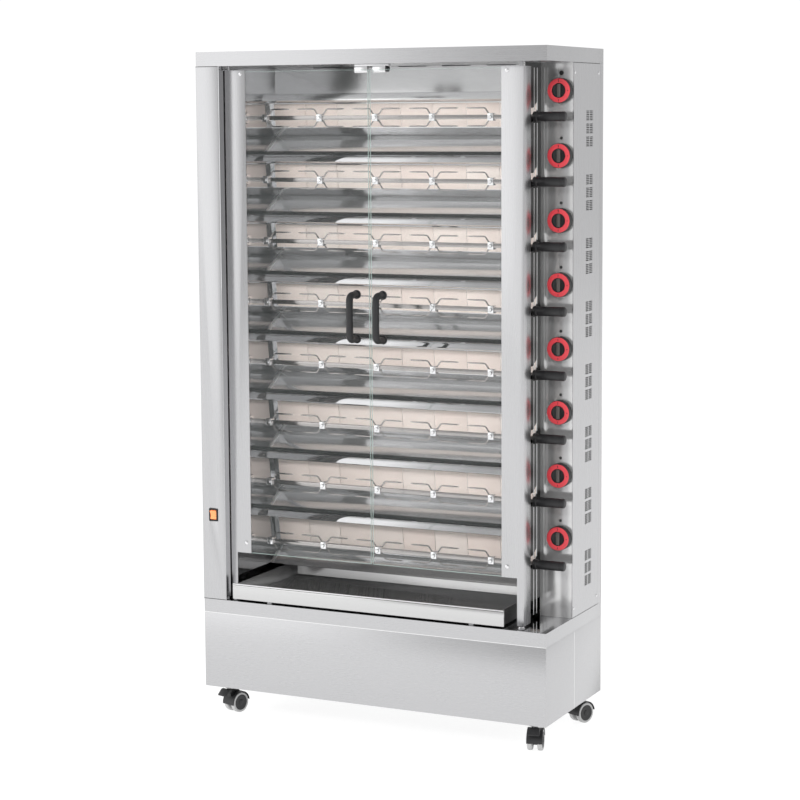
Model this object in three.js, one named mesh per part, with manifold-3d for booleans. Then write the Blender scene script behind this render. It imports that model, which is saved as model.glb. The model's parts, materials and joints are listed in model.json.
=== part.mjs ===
// Upright gas rotisserie oven with eight spits, on a wheeled base. Millimetres, +Z up,
// X to the right, Y to the back. The origin is on the floor under the middle of the oven.
import * as THREE from 'three';
import { mergeVertices } from 'three/addons/utils/BufferGeometryUtils.js';
import Module from 'manifold-3d';

const wasm = await Module();
wasm.setup();

// ---- overall sizes -------------------------------------------------------------------
const width = 1080;
const depth = 430;
const casterHeight = 90;
const baseHeight = 222;
const deckHeight = 40;
const capHeight = 41;

// ---- spits and the chamber -----------------------------------------------------------
const spitCount = 8;
const spitPitch = 177.5;
const lowestSpit = 158;        // lowest spit axis above the deck
const topSpace = 147.5;        // top spit axis to the underside of the cap
const spitSetback = 145;       // spit axes behind the front plane
const columnWidth = 76;        // drive column on the left
const bayWidth = 100;          // open bay with the handles and knobs on the right
const controlSetback = 198;    // control panel behind the front plane
const rearCoverDepth = 30;
const sheet = 2;               // sheet metal
const gap = 0.3;               // between pieces that touch
const running = 0.6;           // round a turning piece

// ---- doors ---------------------------------------------------------------------------
const doorSetback = 30;
const doorSideGap = 2.5;
const doorTopGap = 12;
const doorFootGap = 6;
const glassThickness = 6;
const glassFoot = 140;         // lower edge of the glass above the deck
const stileWidth = 66;
const stileLeg = 20;           // narrow foot of the stile
const stileReturns = { left: 14, right: 50 };
const pivotRadius = 4;
const pivotInset = 10;
const meetingX = -4;           // where the two leaves meet
const meetingGap = 5;
const handleSpread = 81.5;     // between the two handle bars
const handleLength = 146;
const handleRadius = 10.5;
const handleStandOff = 45;
const handleHeight = 845;      // middle of the handles above the deck

// ---- drip tray, switch, knobs, casters -----------------------------------------------
const trayHeight = 45;
const trayLift = 5;
const trayLeftGap = 28;
const trayRightGap = 36;       // room for the right stile's return as it swings
const traySetback = 8;
const trayRearGap = 15;
const knobRadius = 34;
const knobDepth = 22;
const knobRise = 70.5;         // knob axis above its spit
const knobSideGap = 2.5;       // knob rim to the right side
const switchWidth = 20;
const switchHeight = 28;
const switchRise = 251;        // middle of the switch above the deck
const wheelRadius = 30;
const wheelWidth = 14;
const wheelTrail = 20;
const casterInset = 55;
const casterTurns = { front_left: -17, front_right: 15, rear_left: 12, rear_right: -24 };

// ---- places worked out from the sizes ------------------------------------------------
const left = -width / 2;
const right = width / 2;
const handleReach = handleStandOff + handleRadius - doorSetback;
const frontY = (handleReach - depth) / 2;
const deckTop = casterHeight + baseHeight + deckHeight;
const bodyHeight = lowestSpit + (spitCount - 1) * spitPitch + topSpace;
const bodyTop = deckTop + bodyHeight;
const chamberLeft = left + columnWidth;
const chamberRight = right - bayWidth;
const bodyRear = depth - rearCoverDepth - gap;
const trayRear = bodyRear - trayRearGap;
const burnerRear = bodyRear - 59.7;
const back = (setback) => frontY + setback;
const spitZ = (level) => deckTop + lowestSpit + (spitCount - 1 - level) * spitPitch;
const levels = Array.from({ length: spitCount }, (_, level) => level);

// ---- materials -----------------------------------------------------------------------
const finish = (color, roughness, metalness) => ({ color, roughness, metalness });
const brushed = finish(0xc9cacb, 0.38, 0.9);
const polished = finish(0xd8d9da, 0.12, 1.0);
const chrome = finish(0xe2e3e4, 0.08, 1.0);
const cast = finish(0x8d9094, 0.6, 0.6);
const black = finish(0x2b2b2c, 0.5, 0.0);
const clear = finish(0xe4ecec, 0.04, 0.0);
const amber = finish(0xe8895c, 0.3, 0.0);
const tread = finish(0x9a9a9a, 0.7, 0.0);

// ---- shape helpers -------------------------------------------------------------------
const box = (x0, x1, y0, y1, z0, z1) => new THREE.BoxGeometry(x1 - x0, y1 - y0, z1 - z0)
  .translate((x0 + x1) / 2, (y0 + y1) / 2, (z0 + z1) / 2);

function extrude(points, from, to, uAxis, vAxis, wAxis) {
  const shape = new THREE.Shape(points.map(([u, v]) => new THREE.Vector2(u, v)));
  const geometry = new THREE.ExtrudeGeometry(shape, { depth: to - from, bevelEnabled: false });
  geometry.translate(0, 0, from);
  return geometry.applyMatrix4(new THREE.Matrix4().makeBasis(uAxis, vAxis, wAxis));
}
const X = new THREE.Vector3(1, 0, 0);
const Y = new THREE.Vector3(0, 1, 0);
const Z = new THREE.Vector3(0, 0, 1);
const prismX = (yz, x0, x1) => extrude(yz, x0, x1, Y, Z, X);
const prismY = (xz, y0, y1) => extrude(xz, -y1, -y0, X, Z, Y.clone().negate());
const prismZ = (xy, z0, z1) => extrude(xy, z0, z1, X, Y, Z);

const rodX = (r0, r1, x0, x1, y, z, sides) => new THREE.CylinderGeometry(r1, r0, x1 - x0, sides)
  .rotateZ(-Math.PI / 2).translate((x0 + x1) / 2, y, z);
const rodY = (r, y0, y1, x, z, sides) => new THREE.CylinderGeometry(r, r, y1 - y0, sides)
  .translate(x, (y0 + y1) / 2, z);
const rodZ = (r, z0, z1, x, y, sides) => new THREE.CylinderGeometry(r, r, z1 - z0, sides)
  .rotateX(Math.PI / 2).translate(x, y, (z0 + z1) / 2);

// A round solid about the Y axis. The profile runs along the axis, from its low end to its high end.
function turned(profile, sides) {
  return new THREE.LatheGeometry(profile.map(([r, y]) => new THREE.Vector2(r, y)), sides);
}

// The radius of a many-sided hole that leaves the running clearance round a turning piece.
const bore = (radius, sides) => (radius + running) / Math.cos(Math.PI / sides);

function solid(geometry) {
  const bare = geometry.clone();
  bare.deleteAttribute('normal');
  bare.deleteAttribute('uv');
  const merged = mergeVertices(bare, 1e-4);
  return new wasm.Manifold(new wasm.Mesh({
    numProp: 3,
    vertProperties: new Float32Array(merged.attributes.position.array),
    triVerts: new Uint32Array(merged.index.array),
  }));
}
const join = (...geometries) => geometries.map(solid).reduce((all, one) => all.add(one));
const cut = (body, ...tools) => tools.reduce((all, tool) => all.subtract(solid(tool)), body);

function geometryOf(body) {
  const { vertProperties, triVerts } = body.getMesh();
  const geometry = new THREE.BufferGeometry();
  geometry.setAttribute('position', new THREE.BufferAttribute(vertProperties, 3));
  geometry.setIndex(new THREE.BufferAttribute(triVerts, 1));
  geometry.computeVertexNormals();
  return geometry;
}

const oven = new THREE.Group();
function add(name, body, look, parent = oven) {
  const geometry = body instanceof THREE.BufferGeometry ? body : geometryOf(body);
  const mesh = new THREE.Mesh(geometry, new THREE.MeshStandardMaterial(look));
  mesh.name = name;
  parent.add(mesh);
  return mesh;
}

// ---- door pivots, shared by the leaves, the deck and the cap ------------------------------
const pivotY = back(doorSetback) + 6;
const leftLeafEdge = chamberLeft + doorSideGap;
const rightLeafEdge = chamberRight + stileLeg + sheet;
const leftPivotX = leftLeafEdge + pivotInset;
const rightPivotX = rightLeafEdge - pivotInset;
const pivotDip = 4;
const pivotSides = 10;
const pivotHoles = (z0, z1) => [leftPivotX, rightPivotX]
  .map((x) => rodZ(bore(pivotRadius, pivotSides), z0, z1, x, pivotY, pivotSides));

// ---- casing ------------------------------------------------------------------------------
function topCap() {
  const z0 = bodyTop;
  const z1 = bodyTop + capHeight;
  const shell = cut(
    join(box(left, right, back(0), back(depth), z0, z1)),
    box(left + sheet, right - sheet, back(sheet), back(depth - sheet), z0 + sheet, z1 - sheet),
  );
  const flueSlots = [];
  const slotLength = 90;
  const slotWidth = 12;
  const slotPitch = 140;
  for (const row of [330, 370]) {
    for (let i = -2; i <= 2; i += 1) {
      const x = (chamberLeft + chamberRight) / 2 + i * slotPitch;
      flueSlots.push(box(x - slotLength / 2, x + slotLength / 2,
        back(row) - slotWidth / 2, back(row) + slotWidth / 2, z0 - 1, z1 + 1));
    }
  }
  return cut(shell, ...flueSlots, ...pivotHoles(z0 - 1, z0 + sheet + 1));
}

const switchX = (left + chamberLeft) / 2 - 1.5;
const switchZ = deckTop + switchRise;

function leftColumnCover() {
  const x1 = chamberLeft - sheet - gap;
  const rearFlange = 30;
  const section = [
    [left, back(0)], [x1, back(0)], [x1, back(sheet)], [left + sheet, back(sheet)],
    [left + sheet, back(bodyRear - sheet)], [left + rearFlange, back(bodyRear - sheet)],
    [left + rearFlange, back(bodyRear)], [left, back(bodyRear)],
  ];
  const w = switchWidth / 2 + 1;
  const h = switchHeight / 2 + 1.5;
  return cut(join(prismZ(section, deckTop + gap, bodyTop - gap)),
    box(switchX - w, switchX + w, back(-1), back(sheet + 1), switchZ - h, switchZ + h));
}

const spindleRadius = 8;
const wallSetback = 0;

function leftChamberWall() {
  const plate = join(box(chamberLeft - sheet, chamberLeft, back(wallSetback), back(bodyRear),
    deckTop + gap, bodyTop - gap));
  const hole = bore(spindleRadius, 8);
  const holes = levels.map((level) => rodX(hole, hole, chamberLeft - sheet - 1, chamberLeft + 1,
    back(spitSetback), spitZ(level), 8));
  return cut(plate, ...holes);
}

const mixerRadius = 14;
const mixerSetback = burnerRear + 28;
const mixerDrop = 10;

// The right wall carries the free end of each spit in a seat that opens to the front.
function rightChamberWall() {
  const wallFront = doorSetback + stileReturns.right + 6;
  const wallFoot = 54;
  const footSetback = bodyRear - 70;
  const seatRadius = 9.5;
  const outline = [
    [back(bodyRear), deckTop + gap], [back(bodyRear), bodyTop - gap], [back(wallFront), bodyTop - gap],
  ];
  for (const level of levels) {
    const z = spitZ(level);
    outline.push([back(wallFront), z + 24], [back(spitSetback), z + 24], [back(spitSetback + 27), z + 41],
      [back(spitSetback + 27), z + 20]);
    for (let step = 0; step <= 4; step += 1) {
      const angle = -step * Math.PI / 4;
      outline.push([back(spitSetback) + seatRadius * Math.cos(angle), z + seatRadius * Math.sin(angle)]);
    }
    outline.push([back(wallFront), z + 4]);
  }
  outline.push([back(wallFront), deckTop + wallFoot], [back(footSetback), deckTop + wallFoot],
    [back(footSetback), deckTop + gap]);
  const plate = join(prismX(outline, chamberRight, chamberRight + sheet));
  const hole = bore(mixerRadius, 8);
  const holes = levels.map((level) => rodX(hole, hole, chamberRight - 1, chamberRight + sheet + 1,
    back(mixerSetback), spitZ(level) - mixerDrop, 8));
  return cut(plate, ...holes);
}

function rearCover() {
  const z0 = deckTop + gap;
  const z1 = bodyTop - gap;
  const pan = cut(
    join(box(left, right, back(depth - rearCoverDepth), back(depth), z0, z1)),
    box(left + sheet, right - sheet, back(depth - rearCoverDepth - 1), back(depth - sheet),
      z0 + sheet, z1 - sheet),
  );
  const vents = [];
  const ventLength = 160;
  const ventHeight = 8;
  for (let row = 0; row < 5; row += 1) {
    for (const x of [-300, 0, 300]) {
      const z = deckTop + 60 + row * 22;
      vents.push(box(x - ventLength / 2, x + ventLength / 2, back(depth - sheet - 1), back(depth + 1),
        z, z + ventHeight));
    }
  }
  return cut(pan, ...vents);
}

const louvreCount = 3;
const louvreHeight = 29;
const louvrePitch = 36;
const louvreDrop = 53.5;       // top louvre of a group below the knob axis
const louvreWidth = 54;
const louvreSetback = bodyRear - 53.7 - louvreWidth;
const knobZ = (level) => spitZ(level) + knobRise;

function rightSideCover() {
  const plate = join(box(right - sheet, right, back(controlSetback), back(bodyRear),
    deckTop + gap, bodyTop - gap));
  const louvres = [];
  for (const level of levels) {
    for (let row = 0; row < louvreCount; row += 1) {
      const z = knobZ(level) - louvreDrop - row * louvrePitch;
      louvres.push(box(right - sheet - 1, right + 1, back(louvreSetback),
        back(louvreSetback + louvreWidth), z - louvreHeight, z));
    }
  }
  return cut(plate, ...louvres);
}

const knobX = right - knobSideGap - knobRadius;
const stemRadius = 4;

function controlPanel() {
  const plate = join(box(chamberRight + sheet + gap, right - sheet - gap, back(controlSetback),
    back(controlSetback + sheet), deckTop + gap, bodyTop - gap));
  const holes = levels.map((level) => rodY(bore(stemRadius, 8), back(controlSetback - 1),
    back(controlSetback + sheet + 1), knobX, knobZ(level), 8));
  return cut(plate, ...holes);
}

const casterX = width / 2 - casterInset;
const casterPlaces = [
  ['front_left', -casterX, back(casterInset)], ['front_right', casterX, back(casterInset)],
  ['rear_left', -casterX, back(depth - casterInset)], ['rear_right', casterX, back(depth - casterInset)],
];
const padThickness = 5;

// The cabinet is open underneath, between the two plates that the casters bolt to, and its roof
// is a rim that the deck stands on.
function baseCabinet() {
  const z0 = casterHeight;
  const z1 = casterHeight + baseHeight - gap;
  const plateWidth = 2 * casterInset;
  const roofRim = 50;
  const shell = cut(
    join(box(left, right, back(0), back(depth), z0, z1)),
    box(left + sheet, right - sheet, back(sheet), back(depth - sheet), z0 + sheet, z1 - sheet),
    box(left + plateWidth, right - plateWidth, back(sheet), back(depth - sheet), z0 - 1, z0 + sheet + 1),
    box(left + roofRim, right - roofRim, back(roofRim), back(depth - roofRim), z1 - sheet - 1, z1 + 1),
  );
  const padSize = 30;
  return casterPlaces.reduce((all, [, x, y]) => all.add(solid(
    box(x - padSize, x + padSize, y - padSize, y + padSize, z0 - padThickness, z0 + sheet / 2))), shell);
}

function baseDeck() {
  const z0 = casterHeight + baseHeight;
  const z1 = deckTop;
  const runnerSpread = 640;
  const runnerWidth = 14;
  const middle = (chamberLeft + chamberRight) / 2;
  const runners = [-1, 1].map((side) => box(
    middle + side * runnerSpread / 2 - runnerWidth / 2, middle + side * runnerSpread / 2 + runnerWidth / 2,
    back(traySetback + 12), back(trayRear - 8), z1 - sheet / 2, z1 + trayLift - gap));
  const pan = join(box(left, right, back(0), back(depth), z0, z1), ...runners);
  return cut(pan,
    box(left + sheet, right - sheet, back(sheet), back(depth - sheet), z0 - 1, z1 - sheet),
    ...pivotHoles(z1 - sheet - 1, z1 + 1));
}

const sprocketWidth = 5;
const sprocketX = chamberLeft - sheet - 17;

function gearMotor() {
  const x0 = left + sheet + gap;
  const x1 = sprocketX - 6;
  const motorSetback = 262;
  const caseHalf = 36;
  const z = deckTop + 110;
  const y = back(motorSetback);
  const motorRadius = 22;
  return join(
    box(x0, x1, y - caseHalf, y + caseHalf, z - 60, z + 60),
    rodZ(motorRadius, z + 59, z + 180, (x0 + x1) / 2, y, 16),
    rodX(6, 6, x1 - 1, sprocketX + sprocketWidth, y, z, 8),
    rodX(20, 20, sprocketX, sprocketX + sprocketWidth, y, z, 16),
  );
}

// ---- burners -----------------------------------------------------------------------------
// Each burner is one folded sheet with its row of plaques: hood lip, plaques, a sill that runs back,
// and a sloping plate that ends just above the next burner's lip.
const plaqueThickness = 12;
const mixerReach = 70;         // inside the right chamber wall
const mixerOutside = 28;       // beyond it, towards the gas tap
const lipTop = 69.5;
const lipFoot = 50;
const plateNose = lipTop - spitPitch + 1;

function burner(level) {
  const z = spitZ(level);
  const face = [[84, lipTop], [90, lipFoot], [46, 43], [35, -30], [14, -52], [0, -54], [68, -97.5]];
  if (level === 0) face.unshift([10, topSpace - gap], [10, lipTop + sheet]);
  if (level < spitCount - 1) face.push([78, plateNose]);
  const front = face.map(([forward, dz]) => [back(burnerRear - forward), z + dz]);
  const folded = prismX([...front, ...offsetBack(front)], chamberLeft + gap, chamberRight - gap);
  const top = back(burnerRear - 46);
  const foot = back(burnerRear - 35);
  const plaques = prismX([
    [top + 1, z + 42], [foot + 1, z - 29], [foot + plaqueThickness, z - 29], [top + plaqueThickness, z + 42],
  ], chamberLeft + gap, chamberRight - gap);
  const mixerStart = chamberRight - mixerReach;
  const mixer = rodX(mixerRadius, mixerRadius, mixerStart, chamberRight + mixerOutside,
    back(mixerSetback), z - mixerDrop, 8);
  const neck = box(mixerStart + 2, mixerStart + 42, foot, back(mixerSetback),
    z - mixerDrop - 9, z - mixerDrop + 9);
  return join(folded, plaques, mixer, neck);
}

// A sheet's back outline: each point of the front moved square to the sheet by its thickness.
function offsetBack(front) {
  const normals = front.slice(1).map(([y, z], i) => {
    const [dy, dz] = [y - front[i][0], z - front[i][1]];
    const length = Math.hypot(dy, dz);
    return [-dz / length, dy / length];
  });
  return front.map(([y, z], i) => {
    const a = normals[Math.max(0, i - 1)];
    const b = normals[Math.min(normals.length - 1, i)];
    const scale = sheet / (1 + a[0] * b[0] + a[1] * b[1]);
    return [y + (a[0] + b[0]) * scale, z + (a[1] + b[1]) * scale];
  }).reverse();
}

// ---- spits -------------------------------------------------------------------------------
const barHalf = 6;
const forkCount = 5;
const forkLeftGap = 72;        // outer forks to the chamber walls
const forkRightGap = 121.5;
const handleBore = 5;
const handleGap = 1.5;

// A fork is a flat plate on the bar with two or four prongs that run along it.
// sides holds -1 for the prongs that point to the left and 1 for those that point to the right.
function fork(x, sides) {
  const halfThickness = 2.5;
  const edge = [[9, 12], [19, 27], [78, 27], [78, 23], [21.5, 23], [11.5, 8]];
  const plain = [[9, 12]];
  const quarter = (side, up) => (sides.includes(side) ? edge : plain)
    .map(([u, v]) => [x + side * u, up * v]);
  const outline = [
    ...quarter(1, 1), ...quarter(1, -1).reverse(), ...quarter(-1, -1), ...quarter(-1, 1).reverse(),
  ];
  return prismY(outline, -halfThickness, halfThickness);
}

function spit() {
  const forkPitch = (chamberRight - forkRightGap - chamberLeft - forkLeftGap) / (forkCount - 1);
  const forks = Array.from({ length: forkCount }, (_, i) => {
    const sides = [];
    if (i > 0) sides.push(-1);
    if (i < forkCount - 1) sides.push(1);
    return fork(chamberLeft + forkLeftGap + i * forkPitch, sides);
  });
  const chuckFace = chamberLeft + 12;
  const seat = chamberRight + sheet;
  return join(
    box(chuckFace - 1, seat + handleGap, -barHalf, barHalf, -barHalf, barHalf),
    rodX(16.5, 16.5, chamberLeft + running, chuckFace, 0, 0, 12),
    rodX(spindleRadius, spindleRadius, sprocketX, chamberLeft + 2, 0, 0, 8),
    rodX(32, 32, sprocketX, sprocketX + sprocketWidth, 0, 0, 12),
    rodX(handleBore, handleBore, seat, seat + 70, 0, 0, 8),
    ...forks,
  );
}

function spitHandle() {
  const x0 = chamberRight + sheet + handleGap + gap;
  const x1 = right - 1.5;
  const boreEnd = chamberRight + sheet + 72;
  const neck = 13.2;
  const grip = 14.6;
  return turned([
    [0, boreEnd], [handleBore + gap, boreEnd], [handleBore + gap, x0], [grip, x0], [grip, x0 + 12],
    [neck, x1 - 4], [neck - 4, x1], [0, x1],
  ], 14).rotateZ(-Math.PI / 2);
}

// ---- knobs and switch --------------------------------------------------------------------
function knob() {
  const face = knobDepth + gap;
  const recess = 5;
  const recessRadius = 22;
  const stemLength = 14;
  const body = turned([
    [0, -stemLength], [stemRadius, -stemLength], [stemRadius, gap + 1], [knobRadius, gap + 1],
    [knobRadius, face], [recessRadius, face], [recessRadius, face - recess], [0, face - recess],
  ], 18).rotateX(Math.PI);
  return join(body, box(-4, 4, -face - 2, recess + 1 - face, -20, 20));
}

function rocker() {
  const h = switchHeight / 2;
  const profile = [[-4, h - 1], [-1, 0], [-4, 1 - h], [5, -h + 1], [12, -6], [12, 6], [5, h - 1]];
  return prismX(profile, -switchWidth / 2, switchWidth / 2);
}

// ---- doors -------------------------------------------------------------------------------
const leafTop = bodyTop - doorTopGap;
const leafFoot = deckTop + doorFootGap;
const glassFront = doorSetback + sheet + gap;

// side is -1 for the left leaf and 1 for the right one.
function stile(side) {
  const edge = side < 0 ? leftLeafEdge : rightLeafEdge;
  const pivotX = side < 0 ? leftPivotX : rightPivotX;
  const inward = (distance) => edge - side * distance;
  const face = prismY([
    [inward(0), leafFoot], [inward(0), leafTop], [inward(stileWidth), leafTop],
    [inward(stileWidth), deckTop + glassFoot], [inward(stileLeg), deckTop + glassFoot],
    [inward(stileLeg), leafFoot],
  ], back(doorSetback), back(doorSetback + sheet));
  const xs = (a, b) => [Math.min(inward(a), inward(b)), Math.max(inward(a), inward(b))];
  const returnDepth = side < 0 ? stileReturns.left : stileReturns.right;
  const sideReturn = box(...xs(0, sheet), back(doorSetback), back(doorSetback + returnDepth),
    leafFoot, leafTop);
  const shoes = [leafFoot, leafTop - 3].map((z) => box(...xs(0, stileLeg), back(doorSetback),
    back(doorSetback + 14), z, z + 3));
  return join(face, sideReturn, ...shoes,
    rodZ(pivotRadius, deckTop - pivotDip, leafFoot + 1, pivotX, pivotY, pivotSides),
    rodZ(pivotRadius, leafTop - 1, bodyTop + pivotDip, pivotX, pivotY, pivotSides));
}

function glass(side) {
  const outer = side < 0 ? leftLeafEdge + sheet + gap : rightLeafEdge - sheet - gap;
  const inner = meetingX + side * meetingGap / 2;
  return box(Math.min(outer, inner), Math.max(outer, inner), back(glassFront),
    back(glassFront + glassThickness), deckTop + glassFoot, leafTop - 3 - gap);
}

// The handle is a bow whose two feet stand on the glass.
function doorHandle(side) {
  const x = meetingX + side * handleSpread / 2;
  const z = deckTop + handleHeight;
  const foot = back(glassFront - gap);
  const bar = back(doorSetback - handleStandOff);
  const reach = handleLength / 2 - handleRadius;
  const bend = 16;
  const path = new THREE.CurvePath();
  const at = (y, dz) => new THREE.Vector3(x, y, z + dz);
  path.add(new THREE.LineCurve3(at(foot, -reach), at(bar + bend, -reach)));
  path.add(new THREE.QuadraticBezierCurve3(at(bar + bend, -reach), at(bar, -reach), at(bar, bend - reach)));
  path.add(new THREE.LineCurve3(at(bar, bend - reach), at(bar, reach - bend)));
  path.add(new THREE.QuadraticBezierCurve3(at(bar, reach - bend), at(bar, reach), at(bar + bend, reach)));
  path.add(new THREE.LineCurve3(at(bar + bend, reach), at(foot, reach)));
  const section = new THREE.Shape();
  section.absarc(0, 0, handleRadius, 0, 2 * Math.PI);
  return new THREE.ExtrudeGeometry(section, { steps: 18, curveSegments: 5, extrudePath: path });
}

// ---- drip tray ---------------------------------------------------------------------------
function dripTray() {
  const x0 = chamberLeft + trayLeftGap;
  const x1 = chamberRight - trayRightGap;
  const z0 = deckTop + trayLift;
  const z1 = z0 + trayHeight;
  const rim = 9;
  const pan = cut(
    join(box(x0, x1, back(traySetback), back(trayRear), z0, z1)),
    box(x0 + sheet, x1 - sheet, back(traySetback + sheet), back(trayRear - sheet), z0 + sheet, z1 + 1),
  );
  const front = box(x0 - rim, x1 + rim, back(traySetback - 3), back(traySetback + 1), z0 + 1, z1 + 1.5);
  return pan.add(solid(front));
}

// ---- casters -----------------------------------------------------------------------------
const swivelTop = casterHeight - padThickness - gap;
const bodyHalf = 6.5;
const axleRadius = 4;

function casterFork() {
  const crown = swivelTop - 6.7;
  const [u, v] = [wheelTrail, wheelRadius];
  const outline = [
    [-12, crown], [14, crown], [u + 20, v + 21], [u + 26, v + 1], [u + 14, v - 12], [u - 12, v - 12],
    [u - 26, v + 5],
  ];
  const body = join(
    rodZ(18, crown - 1, swivelTop, 0, 0, 16),
    prismX(outline, -bodyHalf, bodyHalf),
  );
  const hole = bore(axleRadius, 8);
  return cut(body, rodX(hole, hole, -bodyHalf - 1, bodyHalf + 1, wheelTrail, wheelRadius, 8));
}

function wheelPair() {
  const inner = bodyHalf + 1;
  return join(
    rodX(axleRadius, axleRadius, -inner - 1, inner + 1, 0, 0, 8),
    ...[-1, 1].map((side) => rodX(wheelRadius, wheelRadius,
      side < 0 ? -inner - wheelWidth : inner, side < 0 ? -inner : inner + wheelWidth, 0, 0, 20)),
  );
}

function brakePedal() {
  const side = [
    [-13.5, -13.7], [-17, -9.7], [-24, -10.7], [-38, -24.7], [-38, -28.7], [-24, -19.7], [-13.5, -18.7],
  ].map(([u, drop]) => [u, swivelTop + drop]);
  return prismX(side, -17, 17);
}

// ---- the assembly ------------------------------------------------------------------------
add('top_cap', topCap(), brushed);
add('left_column_cover', leftColumnCover(), brushed);
add('left_chamber_wall', leftChamberWall(), polished);
add('right_chamber_wall', rightChamberWall(), polished);
add('rear_cover', rearCover(), brushed);
add('right_side_cover', rightSideCover(), brushed);
add('control_panel', controlPanel(), polished);
add('base_cabinet', baseCabinet(), brushed);
add('base_deck', baseDeck(), polished);
add('gear_motor', gearMotor(), cast);

const spitShape = geometryOf(spit());
const spitHandleShape = spitHandle();
const knobShape = geometryOf(knob());
for (const level of levels) {
  add(`burner_${level + 1}`, burner(level), polished);
  add(`spit_${level + 1}`, spitShape, chrome).position.set(0, back(spitSetback), spitZ(level));
  add(`spit_handle_${level + 1}`, spitHandleShape, black)
    .position.set(0, back(spitSetback), spitZ(level));
  add(`knob_${level + 1}`, knobShape, black).position.set(knobX, back(controlSetback), knobZ(level));
}

for (const [name, side] of [['left', -1], ['right', 1]]) {
  add(`${name}_door_stile`, stile(side), brushed);
  add(`${name}_door_glass`, glass(side), clear);
  add(`${name}_door_handle`, doorHandle(side), black);
}

add('drip_tray', dripTray(), polished);

const rockerTilt = 8;
const rockerMesh = add('rocker_switch', rocker(), amber);
rockerMesh.position.set(switchX, back(0), switchZ);
rockerMesh.rotation.x = THREE.MathUtils.degToRad(rockerTilt);

const forkShape = geometryOf(casterFork());
const wheelShape = geometryOf(wheelPair());
for (const [name, x, y] of casterPlaces) {
  const caster = new THREE.Group();
  caster.position.set(x, y, 0);
  caster.rotation.z = THREE.MathUtils.degToRad(casterTurns[name]);
  oven.add(caster);
  add(`${name}_caster_fork`, forkShape, black, caster);
  add(`${name}_caster_wheels`, wheelShape, tread, caster).position.set(0, wheelTrail, wheelRadius);
  if (name.startsWith('front')) add(`${name}_brake_pedal`, brakePedal(), black, caster);
}

export default oven;
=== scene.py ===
"""Looks of an upright gas rotisserie oven with eight spits, on a wheeled base.

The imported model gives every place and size. Each sub-assembly below is a class that dresses its
solids, or builds finer pieces that stand for them, in millimetres of the same frame.
"""
import json
import logging
import math
from dataclasses import dataclass, field
from enum import Enum
from typing import Iterable, Sequence

import bmesh
import bpy
from mathutils import Matrix, Vector

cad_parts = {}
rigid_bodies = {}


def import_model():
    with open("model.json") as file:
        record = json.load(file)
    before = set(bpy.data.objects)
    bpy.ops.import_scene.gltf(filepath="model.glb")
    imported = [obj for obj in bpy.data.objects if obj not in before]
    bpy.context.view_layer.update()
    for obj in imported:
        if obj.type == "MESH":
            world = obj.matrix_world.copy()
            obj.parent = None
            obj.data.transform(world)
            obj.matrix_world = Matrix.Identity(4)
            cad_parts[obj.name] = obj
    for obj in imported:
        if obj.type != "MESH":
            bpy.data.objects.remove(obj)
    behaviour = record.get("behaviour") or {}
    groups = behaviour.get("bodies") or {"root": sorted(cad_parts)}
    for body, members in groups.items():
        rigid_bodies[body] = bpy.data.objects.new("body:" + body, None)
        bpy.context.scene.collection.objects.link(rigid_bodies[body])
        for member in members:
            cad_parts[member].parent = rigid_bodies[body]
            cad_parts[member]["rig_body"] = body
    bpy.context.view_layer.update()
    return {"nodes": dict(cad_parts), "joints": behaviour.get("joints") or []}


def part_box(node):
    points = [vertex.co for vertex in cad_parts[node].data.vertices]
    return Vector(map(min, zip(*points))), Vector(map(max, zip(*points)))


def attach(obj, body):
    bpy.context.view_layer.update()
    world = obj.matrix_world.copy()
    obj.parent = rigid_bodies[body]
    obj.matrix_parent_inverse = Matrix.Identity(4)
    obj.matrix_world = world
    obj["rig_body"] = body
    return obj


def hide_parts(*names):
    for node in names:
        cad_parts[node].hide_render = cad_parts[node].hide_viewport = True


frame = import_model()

MM = 0.001
SPITS = 8
SPIT_PITCH = 0.1775  # metres
FRAME_BODY = "oven_frame"
THIN_EDGE = 0.05  # rounding of hair-thin strips, in millimetres
SCREW_TURN = 1.5  # the most that a screw's head is turned at random, in radians
LEVELS = range(1, SPITS + 1)
LOG = logging.getLogger("oven")

Point = tuple[float, float, float]
Flat = tuple[float, float]
Tone = tuple[float, float, float]


# ---- finishes ---------------------------------------------------------------------------------


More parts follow.
